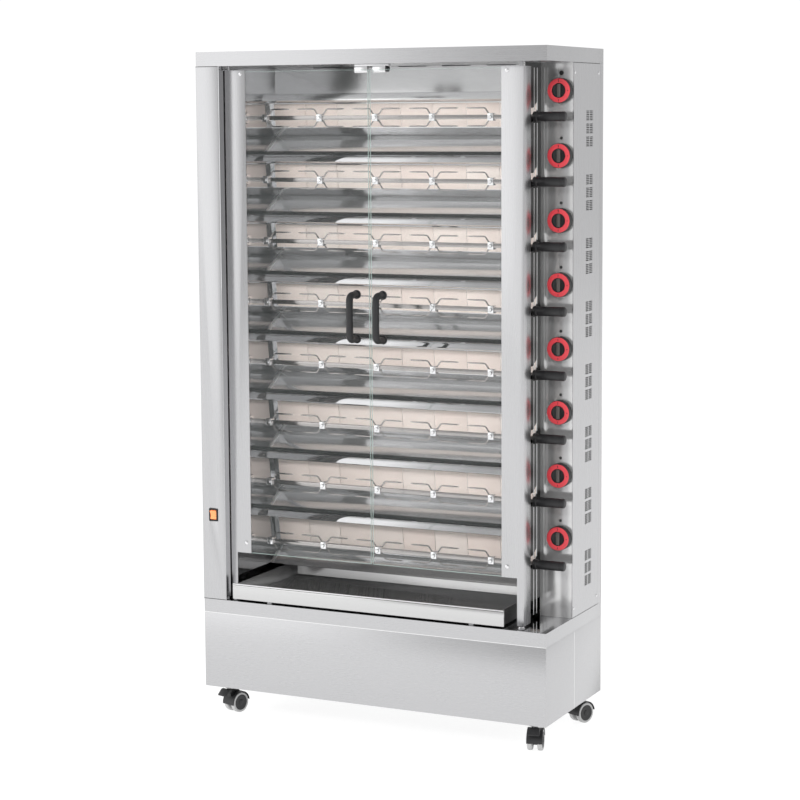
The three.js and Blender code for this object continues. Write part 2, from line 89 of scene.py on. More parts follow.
class Wire:
    """One output of a shader node, which Python's operators can work on."""

    def __init__(self, tree: bpy.types.NodeTree, socket: bpy.types.NodeSocket) -> None:
        """Keeps the tree and the socket."""
        self.tree = tree
        self.socket = socket

    def maths(self, operation: str, *terms: "Wire | float") -> "Wire":
        """Adds one Math node.

        Args:
            operation: the Math node's operation.
            terms: the values or wires of its sockets, in order.

        Returns:
            The node's result.
        """
        node = self.tree.nodes.new("ShaderNodeMath")
        node.operation = operation
        for port, term in zip(node.inputs, terms):
            if isinstance(term, Wire):
                self.tree.links.new(term.socket, port)
            else:
                port.default_value = term
        return Wire(self.tree, node.outputs[0])

    def __add__(self, other: "Wire | float") -> "Wire":
        """self + other."""
        return self.maths("ADD", self, other)

    def __radd__(self, other: float) -> "Wire":
        """other + self."""
        return self.maths("ADD", other, self)

    def __sub__(self, other: "Wire | float") -> "Wire":
        """self - other."""
        return self.maths("SUBTRACT", self, other)

    def __rsub__(self, other: float) -> "Wire":
        """other - self."""
        return self.maths("SUBTRACT", other, self)

    def __mul__(self, other: "Wire | float") -> "Wire":
        """self * other."""
        return self.maths("MULTIPLY", self, other)

    def __rmul__(self, other: float) -> "Wire":
        """other * self."""
        return self.maths("MULTIPLY", other, self)

    def __truediv__(self, other: "Wire | float") -> "Wire":
        """self / other."""
        return self.maths("DIVIDE", self, other)

    def __gt__(self, other: "Wire | float") -> "Wire":
        """1 where self is above other, and 0 elsewhere."""
        return self.maths("GREATER_THAN", self, other)

    def sine(self) -> "Wire":
        """The sine of self, in radians."""
        return self.maths("SINE", self)

    def whole(self) -> "Wire":
        """Self, rounded down."""
        return self.maths("FLOOR", self)


class Nodes:
    """A node tree being made."""

    def __init__(self, tree: bpy.types.NodeTree) -> None:
        """Starts from an empty tree."""
        self.tree = tree
        self.tree.nodes.clear()

    def set(self, node: bpy.types.Node, key: str, value: object) -> None:
        """Sets or links the socket whose identifier, or else name, is key.

        Args:
            node: the node.
            key: the socket's identifier or name.
            value: a constant, or a wire to link.
        """
        port = next((s for s in node.inputs if s.identifier == key), None) or node.inputs[key]
        if isinstance(value, Wire):
            self.tree.links.new(value.socket, port)
        elif port.type == "RGBA" and len(value) == 3:
            port.default_value = (*value, 1.0)
        else:
            port.default_value = value

    def node(
        self,
        kind: str,
        settings: dict | None = None,
        sockets: dict | None = None,
        output: str | int = 0,
    ) -> Wire:
        """Adds any node.

        Args:
            kind: the node's type, without its ShaderNode prefix.
            settings: properties that are set first; "stops" holds a ramp's (place, grey) pairs.
            sockets: values or wires by socket identifier or name.
            output: the output that the caller wants.

        Returns:
            That output.
        """
        node = self.tree.nodes.new("ShaderNode" + kind)
        for key, value in (settings or {}).items():
            if key == "stops":
                ramp = node.color_ramp
                while len(ramp.elements) < len(value):
                    ramp.elements.new(0.5)
                for stop, (place, grey) in zip(ramp.elements, value):
                    stop.position, stop.color = place, (grey, grey, grey, 1.0)
            else:
                setattr(node, key, value)
        for key, value in (sockets or {}).items():
            self.set(node, key, value)
        if isinstance(output, str):
            output = next(
                i
                for i, port in enumerate(node.outputs)
                if output in (port.identifier, port.name) and port.enabled
            )
        return Wire(self.tree, node.outputs[output]) if node.outputs else None

    def axes(self, vector: Wire) -> tuple[Wire, Wire, Wire]:
        """The three parts of a vector.

        Args:
            vector: the vector.

        Returns:
            Its X, Y and Z.
        """
        split = self.tree.nodes.new("ShaderNodeSeparateXYZ")
        self.tree.links.new(vector.socket, split.inputs[0])
        return tuple(Wire(self.tree, port) for port in split.outputs)

    def noise(self, vector: Wire, scale: float | Point, detail: float = 2.0) -> Wire:
        """Noise from 0 to 1; a scale of three numbers stretches it.

        Args:
            vector: where the noise is read.
            scale: how fine it is; three numbers stretch it.
            detail: how many finer layers it has.

        Returns:
            The noise, from 0 to 1.
        """
        if isinstance(scale, tuple):
            vector = self.node("Mapping", sockets={"Vector": vector, "Scale": scale})
            scale = 1.0
        return self.node("TexNoise", sockets={"Vector": vector, "Scale": scale, "Detail": detail})

    def blend(self, dark: "Tone | Wire", light: "Tone | Wire", share: Wire) -> Wire:
        """A colour between two colours.

        Args:
            dark: the colour at a share of 0.
            light: the colour at a share of 1.
            share: how much of light is taken.

        Returns:
            The colour between them.
        """
        return self.node(
            "Mix",
            {"data_type": "RGBA"},
            {"Factor_Float": share, "A_Color": dark, "B_Color": light},
            "Result_Color",
        )

    def ramp(self, value: Wire, *stops: Flat) -> Wire:
        """A smooth grey ramp of a value, from (place, grey) pairs."""
        return self.node("ValToRGB", {"stops": stops}, {"Fac": value})


class Surface(Nodes):
    """A material being made: one Principled shader and the nodes that feed it."""

    def __init__(self, name: str, **sockets: float | Tone) -> None:
        """Starts a material.

        Args:
            name: the material's name.
            sockets: constants for the shader, with underscores for the spaces in their names.
        """
        self.material = bpy.data.materials.new(name)
        self.material.use_nodes = True
        super().__init__(self.material.node_tree)
        self.shader = self.tree.nodes.new("ShaderNodeBsdfPrincipled")
        end = self.tree.nodes.new("ShaderNodeOutputMaterial")
        self.tree.links.new(self.shader.outputs[0], end.inputs[0])
        for key, value in sockets.items():
            self.feed(key.replace("_", " "), value)

    def feed(self, socket: str, value: "Wire | float | Sequence[float]") -> None:
        """Sets or links one socket of the shader."""
        self.set(self.shader, socket, value)

    def place(self) -> Wire:
        """The point on the piece, in metres of the frame."""
        return self.node("TexCoord", output="Object")

    def relief(self, height: Wire, distance: float, strength: float = 1.0) -> None:
        """Feeds the normal from a height, with distance in metres."""
        self.feed("Normal", self.node("Bump", sockets={
            "Height": height, "Distance": distance, "Strength": strength}))


class Grain(Enum):
    """Which way a sheet was brushed, as noise scales along X, Y and Z."""

    UPRIGHT = (900.0, 900.0, 6.0)
    ACROSS = (6.0, 900.0, 900.0)
    ROUND = (500.0, 500.0, 500.0)


@dataclass(frozen=True)
class Steel:
    """Stainless steel, from brushed sheet to a mirror polish."""

    name: str
    slot: str
    tone: Tone = (0.56, 0.56, 0.57)
    roughness: float = 0.28
    streaks: float = 0.14
    grain: Grain = Grain.UPRIGHT
    wave: float = 0.0
    metal: float = 1.0

    def build(self) -> bpy.types.Material:
        """Makes the material: grain in the roughness and relief, handling marks, and sheet wave.

        Returns:
            The material.
        """
        made = Surface(self.name, Metallic=self.metal)
        place = made.place()
        streak = made.noise(place, self.grain.value, detail=3.0)
        marks = made.noise(place, 5.0, detail=4.0)
        made.feed("Roughness", self.roughness + self.streaks * (streak - 0.5)
                  + 0.06 * (marks - 0.45))
        dark = tuple(0.93 * c for c in self.tone)
        made.feed("Base Color", made.blend(dark, self.tone, 0.5 * streak + 0.5 * marks))
        height = self.wave * made.noise(place, 3.0, detail=1.0)
        if self.roughness > 0.1:
            height = height + 0.012 * streak
        made.relief(height, 0.001)
        return made.material


@dataclass(frozen=True)
class Ceramic:
    """Perforated ceramic burner plaques, with small differences from one to the next."""

    name: str = "ceramic_plaque"
    slot: str = "ceramic_plaque"
    pale: Tone = (0.96, 0.88, 0.82)
    warm: Tone = (0.93, 0.79, 0.72)
    pitch: float = 0.104
    start: float = -0.449
    # painted shade: the dark colour, and its share, that stand in for the shade inside the fine
    # holes
    hole_shade: Tone = (0.40, 0.30, 0.26)
    hole_pitch: float = 0.0026
    hole_shade_share: float = 0.35
    hole_edge: float = 0.45
    rise: float = 0.02

    def build(self) -> bpy.types.Material:
        """Makes the material: a tone for each plaque, mottling, and rows of fine holes darkened
        with painted shade.

        Returns:
            The material.
        """
        made = Surface(self.name, Roughness=0.8)
        place = made.place()
        x, _, z = made.axes(place)
        column = ((x - self.start) / self.pitch).whole()
        tile = column + 7.0 * ((z - self.rise) / SPIT_PITCH).whole()
        each = made.node("TexWhiteNoise", {"noise_dimensions": "1D"}, {"W": tile})
        mottle = made.noise(place, 22.0, detail=4.0)
        shade = 0.55 * each + 0.45 * mottle
        turn = 2 * math.pi / self.hole_pitch
        holes = ((turn * x).sine() * (turn * z).sine()) > self.hole_edge
        body = made.blend(self.warm, self.pale, shade)
        # the holes are darkened towards the dark hole colour: painted shade
        made.feed("Base Color", made.blend(body, self.hole_shade, self.hole_shade_share * holes))
        made.relief(1.0 - holes + 0.2 * mottle, 0.0006)
        return made.material


@dataclass(frozen=True)
class Moulded:
    """Moulded plastic, rubber or printed colour, with a fine even grain."""

    name: str
    slot: str
    tone: Tone
    roughness: float = 0.45
    grain: float = 1400.0
    depth: float = 0.00008
    glow: float = 0.0
    metallic: float = 0.0

    def build(self) -> bpy.types.Material:
        """Makes the material: fine grain, soft wear and small tone changes.

        Returns:
            The material.
        """
        made = Surface(self.name, Metallic=self.metallic)
        place = made.place()
        fine = made.noise(place, self.grain, detail=2.0)
        wear = made.noise(place, 35.0, detail=3.0)
        made.feed("Roughness", self.roughness + 0.12 * (wear - 0.5) + 0.05 * (fine - 0.5))
        light = tuple(min(1.0, 1.25 * c + 0.006) for c in self.tone)
        made.feed("Base Color", made.blend(self.tone, light, wear * 0.6))
        if self.glow:
            made.feed("Emission Color", (*self.tone, 1.0))
            made.feed("Emission Strength", self.glow)
        made.relief(fine, self.depth)
        return made.material


@dataclass(frozen=True)
class Pane:
    """Clear toughened glass; the cut edges are greener and denser than the faces."""

    name: str
    slot: str = "door_glass"
    tone: Tone = (0.86, 0.93, 0.92)
    cover: float = 0.008
    rim: float = 0.10

    def build(self) -> bpy.types.Material:
        """Makes the material: nearly clear, with more gloss at low angles and faint marks.

        Returns:
            The material.
        """
        made = Surface(self.name, Roughness=0.02, Specular_IOR_Level=0.8)
        smear = made.noise(made.place(), 4.0, detail=4.0)
        facing = made.node("LayerWeight", sockets={"Blend": 0.35}, output="Facing")
        made.feed("Base Color", made.blend(tuple(0.9 * c for c in self.tone), self.tone, smear))
        made.feed("Alpha", self.cover + 0.02 * smear + self.rim * facing * facing)
        return made.material


Finish = Steel | Ceramic | Moulded | Pane


class Shelf:
    """The finishes of this oven, each made once."""

    brushed_up = Steel("brushed_steel_upright", "brushed_stainless")
    brushed_across = Steel("brushed_steel_across", "brushed_stainless", grain=Grain.ACROSS)
    panel = Steel("panel_steel", "mirror_stainless", (0.68, 0.68, 0.68), 0.12, 0.03, metal=0.72)
    wall = Steel("wall_steel", "mirror_stainless", (0.60, 0.60, 0.61), 0.03, 0.01, wave=0.03)
    # near-black steel: painted shade, standing in for the dark that mirror steel reflects on these
    # faces
    shade = Steel("painted_shade_steel", "mirror_stainless", (0.07, 0.07, 0.07), 0.25, 0.05)
    deck = Steel("deck_steel", "mirror_stainless", (0.42, 0.42, 0.43), 0.05, 0.02, wave=0.05)
    burner = Steel("burner_steel", "burner_steel", (0.56, 0.56, 0.57), 0.035, 0.02,
                   Grain.ACROSS, 0.03)
    plate = Steel("plate_steel", "burner_steel", (0.70, 0.70, 0.70), 0.13, 0.04, Grain.ACROSS,
                  metal=0.8)
    satin = Steel("satin_steel", "burner_steel", (0.78, 0.78, 0.78), 0.16, 0.04, Grain.ACROSS)
    tray = Steel("tray_steel", "mirror_stainless", (0.60, 0.60, 0.60), 0.12, 0.04, Grain.ACROSS,
                 metal=0.75)
    # near-white steel: painted highlight, for bright strips that stand in for highlights on edges
    # and folds
    painted_highlight = Steel("painted_highlight_steel", "chrome_trim", (0.95, 0.95, 0.95), 0.3, 0.05, Grain.ROUND)
    bar = Steel("spit_steel", "spit_steel", (0.42, 0.40, 0.39), 0.14, 0.06, Grain.ACROSS)
    chrome = Steel("chrome_trim", "chrome_trim", (0.85, 0.85, 0.86), 0.08, 0.02, Grain.ROUND)
    cast = Moulded("motor_housing", "motor_housing", (0.33, 0.34, 0.36), 0.55, 500.0, 0.0003,
                   metallic=0.6)
    plaque = Ceramic()
    black = Moulded("black_plastic", "black_plastic", (0.013, 0.013, 0.014))
    grip = Moulded("grip_plastic", "black_plastic", (0.085, 0.075, 0.07), 0.3)
    red = Moulded("red_ring", "red_ring", (0.62, 0.05, 0.065), 0.4)
    # black for printed marks, and for painted shade in gaps and under the tray's lip
    mark = Moulded("black_print_and_painted_shade", "black_plastic", (0.012, 0.012, 0.012), 0.4)
    amber = Moulded("amber_rocker", "amber_plastic", (0.86, 0.27, 0.10), 0.28, glow=0.35)
    tread = Moulded("grey_tread", "grey_tread", (0.42, 0.42, 0.42), 0.6)
    glass = Pane("door_glass")
    glass_edge = Pane("door_glass_edge", tone=(0.55, 0.68, 0.64), cover=0.55)
    _made: dict[str, bpy.types.Material] = {}

    @classmethod
    def of(cls, finish: Finish) -> bpy.types.Material:
        """The material of a finish.

        Args:
            finish: the finish.

        Returns:
            Its material, made at the first call.
        """
        if finish.name not in cls._made:
            cls._made[finish.name] = finish.build()
        return cls._made[finish.name]


# ---- mesh work --------------------------------------------------------------------------------


class Axis(Enum):
    """The axis that a prism or a turned form runs along, with the two across it."""

    X = ((0, 1, 0), (0, 0, 1), (1, 0, 0))
    Y = ((1, 0, 0), (0, 0, 1), (0, 1, 0))
    Z = ((1, 0, 0), (0, 1, 0), (0, 0, 1))

    def at(self, u: float, v: float, w: float) -> Vector:
        """The point u and v across, and w along."""
        a, b, c = self.value
        return Vector(a) * u + Vector(b) * v + Vector(c) * w


class Form:
    """A mesh being built in millimetres of the frame.

    An edge counts as upright when its rise passes UPRIGHT of its length, and as long past LONG.
    A face counts as part of a rounding, and is shaded smooth, when it looks along no axis, by
    ALONG, and is no wider than STRIP widths of the rounding.
    """

    MERGE = 0.02
    FLAT_DEGREES = 0.5
    UPRIGHT = 0.99
    LONG = 15
    ALONG = 0.999
    STRIP = 1.3

    def __init__(self) -> None:
        """Starts an empty mesh."""
        self.bm = bmesh.new()

    @classmethod
    def of_node(cls, node: str) -> "Form":
        """A copy of a solid with its triangles joined into whole faces.

        Args:
            node: the solid.

        Returns:
            The copy, in millimetres, with flat faces.
        """
        made = cls()
        made.bm.from_mesh(frame["nodes"][node].data)
        bmesh.ops.scale(made.bm, vec=(1 / MM,) * 3, verts=made.bm.verts)
        bmesh.ops.remove_doubles(made.bm, verts=made.bm.verts, dist=cls.MERGE)
        bmesh.ops.dissolve_limit(made.bm, angle_limit=math.radians(cls.FLAT_DEGREES),
                                 use_dissolve_boundaries=False, verts=made.bm.verts,
                                 edges=made.bm.edges)
        for face in made.bm.faces:
            face.smooth = False
        return made

    def box(self, low: Point, high: Point) -> "Form":
        """Adds a box between two corners.

        Args:
            low: the lowest corner.
            high: the highest corner.

        Returns:
            The same form.
        """
        made = bmesh.ops.create_cube(self.bm, size=1.0)["verts"]
        size = [b - a for a, b in zip(low, high)]
        middle = [(a + b) / 2 for a, b in zip(low, high)]
        bmesh.ops.scale(self.bm, vec=size, verts=made)
        bmesh.ops.translate(self.bm, vec=middle, verts=made)
        return self

    def prism(self, outline: Sequence[Flat], axis: Axis, start: float, end: float) -> "Form":
        """Adds an outline pushed along an axis.

        Args:
            outline: (across, across) pairs in the order of the axis.
            axis: the axis it is pushed along.
            start: where it starts on the axis.
            end: where it ends.

        Returns:
            The same form.
        """
        ends = [[self.bm.verts.new(axis.at(u, v, w)) for u, v in outline] for w in (start, end)]
        count = len(outline)
        self.bm.faces.new(ends[0])
        self.bm.faces.new(ends[1][::-1])
        for i in range(count):
            j = (i + 1) % count
            self.bm.faces.new([ends[0][j], ends[0][i], ends[1][i], ends[1][j]])
        return self

    def turned(self, profile: Sequence[Flat], axis: Axis, centre: Point, sides: int = 40) -> "Form":
        """Adds a round form.

        Args:
            profile: (radius, distance along the axis) pairs; a radius of 0 closes an end.
            axis: the axis it is turned about.
            centre: a point on that axis, from which the distances count.
            sides: steps round the axis.

        Returns:
            The same form.
        """
        rings = []
        for radius, along in profile:
            count = 1 if radius <= 0 else sides
            rings.append([self.bm.verts.new(Vector(centre) + axis.at(
                radius * math.cos(2 * math.pi * i / sides),
                radius * math.sin(2 * math.pi * i / sides), along)) for i in range(count)])
        self._skin(rings)
        return self

    def tube(self, path: Sequence[Vector], radii: float | Sequence[float],
             sides: int = 14) -> "Form":
        """Adds a round bar along a path, with closed ends.

        Args:
            path: the points of its centre line.
            radii: one radius, or one for each point; 0 closes an end to a point.
            sides: steps round the bar.

        Returns:
            The same form.
        """
        if isinstance(radii, (int, float)):
            radii = [radii] * len(path)
        rings = []
        side = None
        for i, (point, radius) in enumerate(zip(path, radii)):
            along = (path[min(i + 1, len(path) - 1)] - path[max(i - 1, 0)]).normalized()
            if side is None:
                side = along.orthogonal().normalized()
            side = (side - along * side.dot(along)).normalized()
            up = along.cross(side)
            count = 1 if radius <= 0 else sides
            rings.append([self.bm.verts.new(
                point + side * radius * math.cos(2 * math.pi * k / sides)
                + up * radius * math.sin(2 * math.pi * k / sides)) for k in range(count)])
        self._skin(rings)
        return self

    def _skin(self, rings: list[list[bmesh.types.BMVert]]) -> None:
        """Joins rings of points into a closed skin.

        Args:
            rings: the rings in order; a ring of one point closes an end.
        """
        for a, b in zip(rings, rings[1:]):
            sides = max(len(a), len(b))
            for i in range(sides):
                j = (i + 1) % sides
                loop = [a[i % len(a)], a[j % len(a)], b[j % len(b)], b[i % len(b)]]
                kept = list(dict.fromkeys(loop))
                if len(kept) > 2:
                    self.bm.faces.new(kept).smooth = True
        for ring, turn in ((rings[0], -1), (rings[-1], 1)):
            if len(ring) > 2:
                self.bm.faces.new(ring[::turn])

    def bevel(self, width: float, steps: int = 2, angle: float = 25.0,
              upright: bool = False) -> "Form":
        """Rounds edges.

        Args:
            width: how far the rounding reaches from an edge.
            steps: faces across the rounding.
            angle: an edge that turns by less, in degrees, stays as it is.
            upright: whether only the long upright edges are rounded.

        Returns:
            The same form.
        """
        limit = math.radians(angle)
        edges = [e for e in self.bm.edges if len(e.link_faces) == 2
                 and e.calc_face_angle(0.0) > limit]
        if upright:
            edges = [e for e in edges if e.is_convex
                     and abs((e.verts[0].co - e.verts[1].co).z)
                     > self.UPRIGHT * e.calc_length() > self.LONG]
        made = bmesh.ops.bevel(self.bm, geom=edges, offset=width, offset_type="OFFSET",
                               segments=steps, profile=0.5, affect="EDGES", clamp_overlap=True)
        for face in made["faces"]:
            longest = max(e.calc_length() for e in face.edges)
            tilted = max(abs(part) for part in face.normal) < self.ALONG
            face.smooth = tilted and face.calc_area() < self.STRIP * width * longest
        return self

    def add(self, other: "Form", shift: Point = (0.0, 0.0, 0.0)) -> "Form":
        """Adds a copy of another form, moved.

        Args:
            other: the form to copy.
            shift: how far the copy is moved.

        Returns:
            The same form.
        """
        spare = bpy.data.meshes.new("spare")
        other.bm.to_mesh(spare)
        spare.transform(Matrix.Translation(shift))
        self.bm.from_mesh(spare)
        bpy.data.meshes.remove(spare)
        return self

    def move(self, matrix: Matrix) -> "Form":
        """Moves or turns the whole form."""
        bmesh.ops.transform(self.bm, matrix=matrix, verts=self.bm.verts)
        return self

    def mesh(self, name: str, sharp: float = 32.0) -> bpy.types.Mesh:
        """Ends the form as a mesh in metres, with faces outwards and crisp sharp edges.

        Args:
            name: the mesh's name.
            sharp: the angle in degrees past which an edge stays crisp.

        Returns:
            The mesh.
        """
        bmesh.ops.recalc_face_normals(self.bm, faces=self.bm.faces)
        bmesh.ops.scale(self.bm, vec=(MM,) * 3, verts=self.bm.verts)
        made = bpy.data.meshes.new(name)
        self.bm.to_mesh(made)
        self.bm.free()
        stale = made.attributes.get("custom_normal")
        if stale:
            made.attributes.remove(stale)
        made.set_sharp_from_angle(angle=math.radians(sharp))
        return made


@dataclass
class Piece:
    """One finished piece of the looks, and what it stands for."""

    name: str
    body: str
    finish: Finish
    stands_for: Sequence[str] = ()

    def ride(self, obj: bpy.types.Object) -> bpy.types.Object:
        """Puts a finished object on its body and the solids that it stands for.

        Args:
            obj: the finished object, with a plain mesh.

        Returns:
            The same object.
        """
        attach(obj, self.body)
        if self.stands_for:
            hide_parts(*self.stands_for)
        LOG.info("piece %s on %s: %d faces", self.name, self.body, len(obj.data.polygons))
        return obj

    def put(self, form: Form, sharp: float = 32.0) -> bpy.types.Object:
        """Ends a form as this piece.

        Args:
            form: the form, which is used up.
            sharp: the angle in degrees past which an edge stays crisp.

        Returns:
            The finished object.
        """
        mesh = form.mesh(self.name, sharp=sharp)
        mesh.materials.clear()
        mesh.materials.append(Shelf.of(self.finish))
        obj = bpy.data.objects.new(self.name, mesh)
        bpy.context.scene.collection.objects.link(obj)
        return self.ride(obj)


def dress(node: str, finish: Finish) -> None:
    """Gives a solid that keeps its own shape its finish.

    Args:
        node: the solid.
        finish: its finish.
    """
    obj = frame["nodes"][node]
    obj.data.materials.clear()
    obj.data.materials.append(Shelf.of(finish))
    LOG.info("solid %s dressed as %s", node, finish.name)


def soften(node: str, finish: Finish, width: float, steps: int = 2,
           corner: float = 0.0) -> bpy.types.Object:
    """Stands a copy of a solid with rounded edges in its place.

    Args:
        node: the solid.
        finish: its finish.
        width: how far the rounding reaches from an edge.
        steps: faces across the rounding.
        corner: the same for the long upright corners, where it is larger.

    Returns:
        The finished object.
    """
    body = frame["nodes"][node]["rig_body"]
    form = Form.of_node(node)
    if corner:
        form.bevel(corner, 3, upright=True)
    return Piece(f"{node}_sheet", body, finish, [node]).put(form.bevel(width, steps))


def two_tone(obj: bpy.types.Object, finish: Steel, facing: Vector, close: float = 0.95) -> None:
    """Gives the faces that look one way another finish.

    Args:
        obj: the finished object.
        finish: the other finish.
        facing: the way that the faces look.
        close: how near to that way a face must look, as a cosine.
    """
    obj.data.materials.append(Shelf.of(finish))
    for polygon in obj.data.polygons:
        if polygon.normal.dot(facing) > close:
            polygon.material_index = len(obj.data.materials) - 1


# ---- what repeats -----------------------------------------------------------------------------


class Repeats:
    """Geometry Nodes that put one small form at many places."""

    SEED = 7

    def __init__(self, name: str, in_row: bool) -> None:
        """Builds the tree.

        Args:
            name: the tree's name.
            in_row: True for a row with a count and a pitch, False for the points of the mesh.
        """
        tree = bpy.data.node_groups.new(name, "GeometryNodeTree")
        self.tree = tree
        sides = {"Geometry": "NodeSocketGeometry", "Form": "NodeSocketObject",
                 "Finish": "NodeSocketMaterial", "Seed": "NodeSocketInt",
                 "Turn Axis": "NodeSocketVector", "Largest Turn": "NodeSocketFloat"}
        if in_row:
            sides |= {"Count": "NodeSocketInt", "Start": "NodeSocketVector",
                      "Pitch": "NodeSocketVector"}
        for label, kind in sides.items():
            tree.interface.new_socket(label, in_out="INPUT", socket_type=kind)
        tree.interface.new_socket("Geometry", in_out="OUTPUT", socket_type="NodeSocketGeometry")
        add = tree.nodes.new
        given, end = add("NodeGroupInput"), add("NodeGroupOutput")
        form = add("GeometryNodeObjectInfo")
        form.transform_space = "ORIGINAL"
        angle = add("FunctionNodeRandomValue")
        angle.data_type = "FLOAT"
        turn = add("ShaderNodeVectorMath")
        turn.operation = "SCALE"
        spread = add("GeometryNodeInstanceOnPoints")
        whole = add("GeometryNodeRealizeInstances")
        paint = add("GeometryNodeSetMaterial")
        link = tree.links.new
        points = given.outputs["Geometry"]
        if in_row:
            row = add("GeometryNodeMeshLine")
            row.mode = "OFFSET"
            link(given.outputs["Count"], row.inputs["Count"])
            link(given.outputs["Start"], row.inputs["Start Location"])
            link(given.outputs["Pitch"], row.inputs["Offset"])
            points = row.outputs[0]
        link(points, spread.inputs["Points"])
        link(given.outputs["Form"], form.inputs["Object"])
        link(form.outputs["Geometry"], spread.inputs["Instance"])
        link(given.outputs["Seed"], angle.inputs["Seed"])
        low, high = (s for s in angle.inputs if s.identifier in ("Min_001", "Max_001"))
        low.default_value = 0.0
        link(given.outputs["Largest Turn"], high)
        scale = next(o for o in angle.outputs if o.identifier == "Value_001")
        link(given.outputs["Turn Axis"], turn.inputs[0])
        link(scale, turn.inputs["Scale"])
        link(turn.outputs[0], spread.inputs["Rotation"])
        link(spread.outputs[0], whole.inputs[0])
        link(whole.outputs[0], paint.inputs["Geometry"])
        link(given.outputs["Finish"], paint.inputs["Material"])
        link(paint.outputs[0], end.inputs[0])

    def run(self, piece: Piece, form: Form, points: Iterable[Point], **given: object
            ) -> bpy.types.Object:
        """Makes a piece of many copies.

        Args:
            piece: the piece to make.
            form: the small form, built round the origin in millimetres.
            points: where the copies go, in millimetres; a row needs only one.
            given: other inputs of the tree by name, with underscores for spaces.

        Returns:
            The finished object, with a plain mesh.
        """
        small = bpy.data.objects.new("small_form", form.mesh("small_form"))
        bpy.context.scene.collection.objects.link(small)
        mesh = bpy.data.meshes.new(piece.name)
        mesh.from_pydata([Vector(p) * MM for p in points], [], [])
        obj = bpy.data.objects.new(piece.name, mesh)
        bpy.context.scene.collection.objects.link(obj)
        change = obj.modifiers.new("repeats", "NODES")
        change.node_group = self.tree
        known = {s.name: s.identifier for s in self.tree.interface.items_tree
                 if s.in_out == "INPUT"}
        change[known["Form"]] = small
        change[known["Finish"]] = Shelf.of(piece.finish)
        change[known["Seed"]] = self.SEED
        for key, value in given.items():
            change[known[key.replace("_", " ")]] = value
        bpy.context.view_layer.update()
        graph = bpy.context.evaluated_depsgraph_get()
        plain = bpy.data.meshes.new_from_object(obj.evaluated_get(graph))
        obj.modifiers.clear()
        obj.data = plain
        bpy.data.objects.remove(small)
        return piece.ride(obj)


SPOTS = Repeats("at_points", in_row=False)
ROW = Repeats("in_a_row", in_row=True)


def box_mm(node: str) -> tuple[Vector, Vector]:
    """The lowest and highest corner of a solid, in millimetres."""
    low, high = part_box(node)
    return low / MM, high / MM


def joint_mm(joint: str) -> Vector:
    """Where a joint's axis is, in millimetres."""
    found = next(j for j in frame["joints"] if j["name"] == joint)
    return Vector(found["pos_m"]) / MM


def screw_head(axis: Axis, radius: float = 4.5, height: float = 1.8, sunk: float = 0.6) -> Form:
    """A domed screw head with a small socket, round the origin, on the low side of its axis.

    Args:
        axis: the axis that it is turned about.
        radius: its radius.
        height: how far it stands proud.
        sunk: how far it reaches into the sheet.

    Returns:
        The form.
    """
    profile = [(0.0, sunk), (radius, sunk), (radius, -0.35 * height),
               (0.8 * radius, -0.8 * height), (0.45 * radius, -height), (0.2 * radius, -height),
               (0.12 * radius, -0.55 * height), (0.0, -0.5 * height)]
    return Form().turned(profile, axis, (0, 0, 0), 16)


# ---- the oven ---------------------------------------------------------------------------------


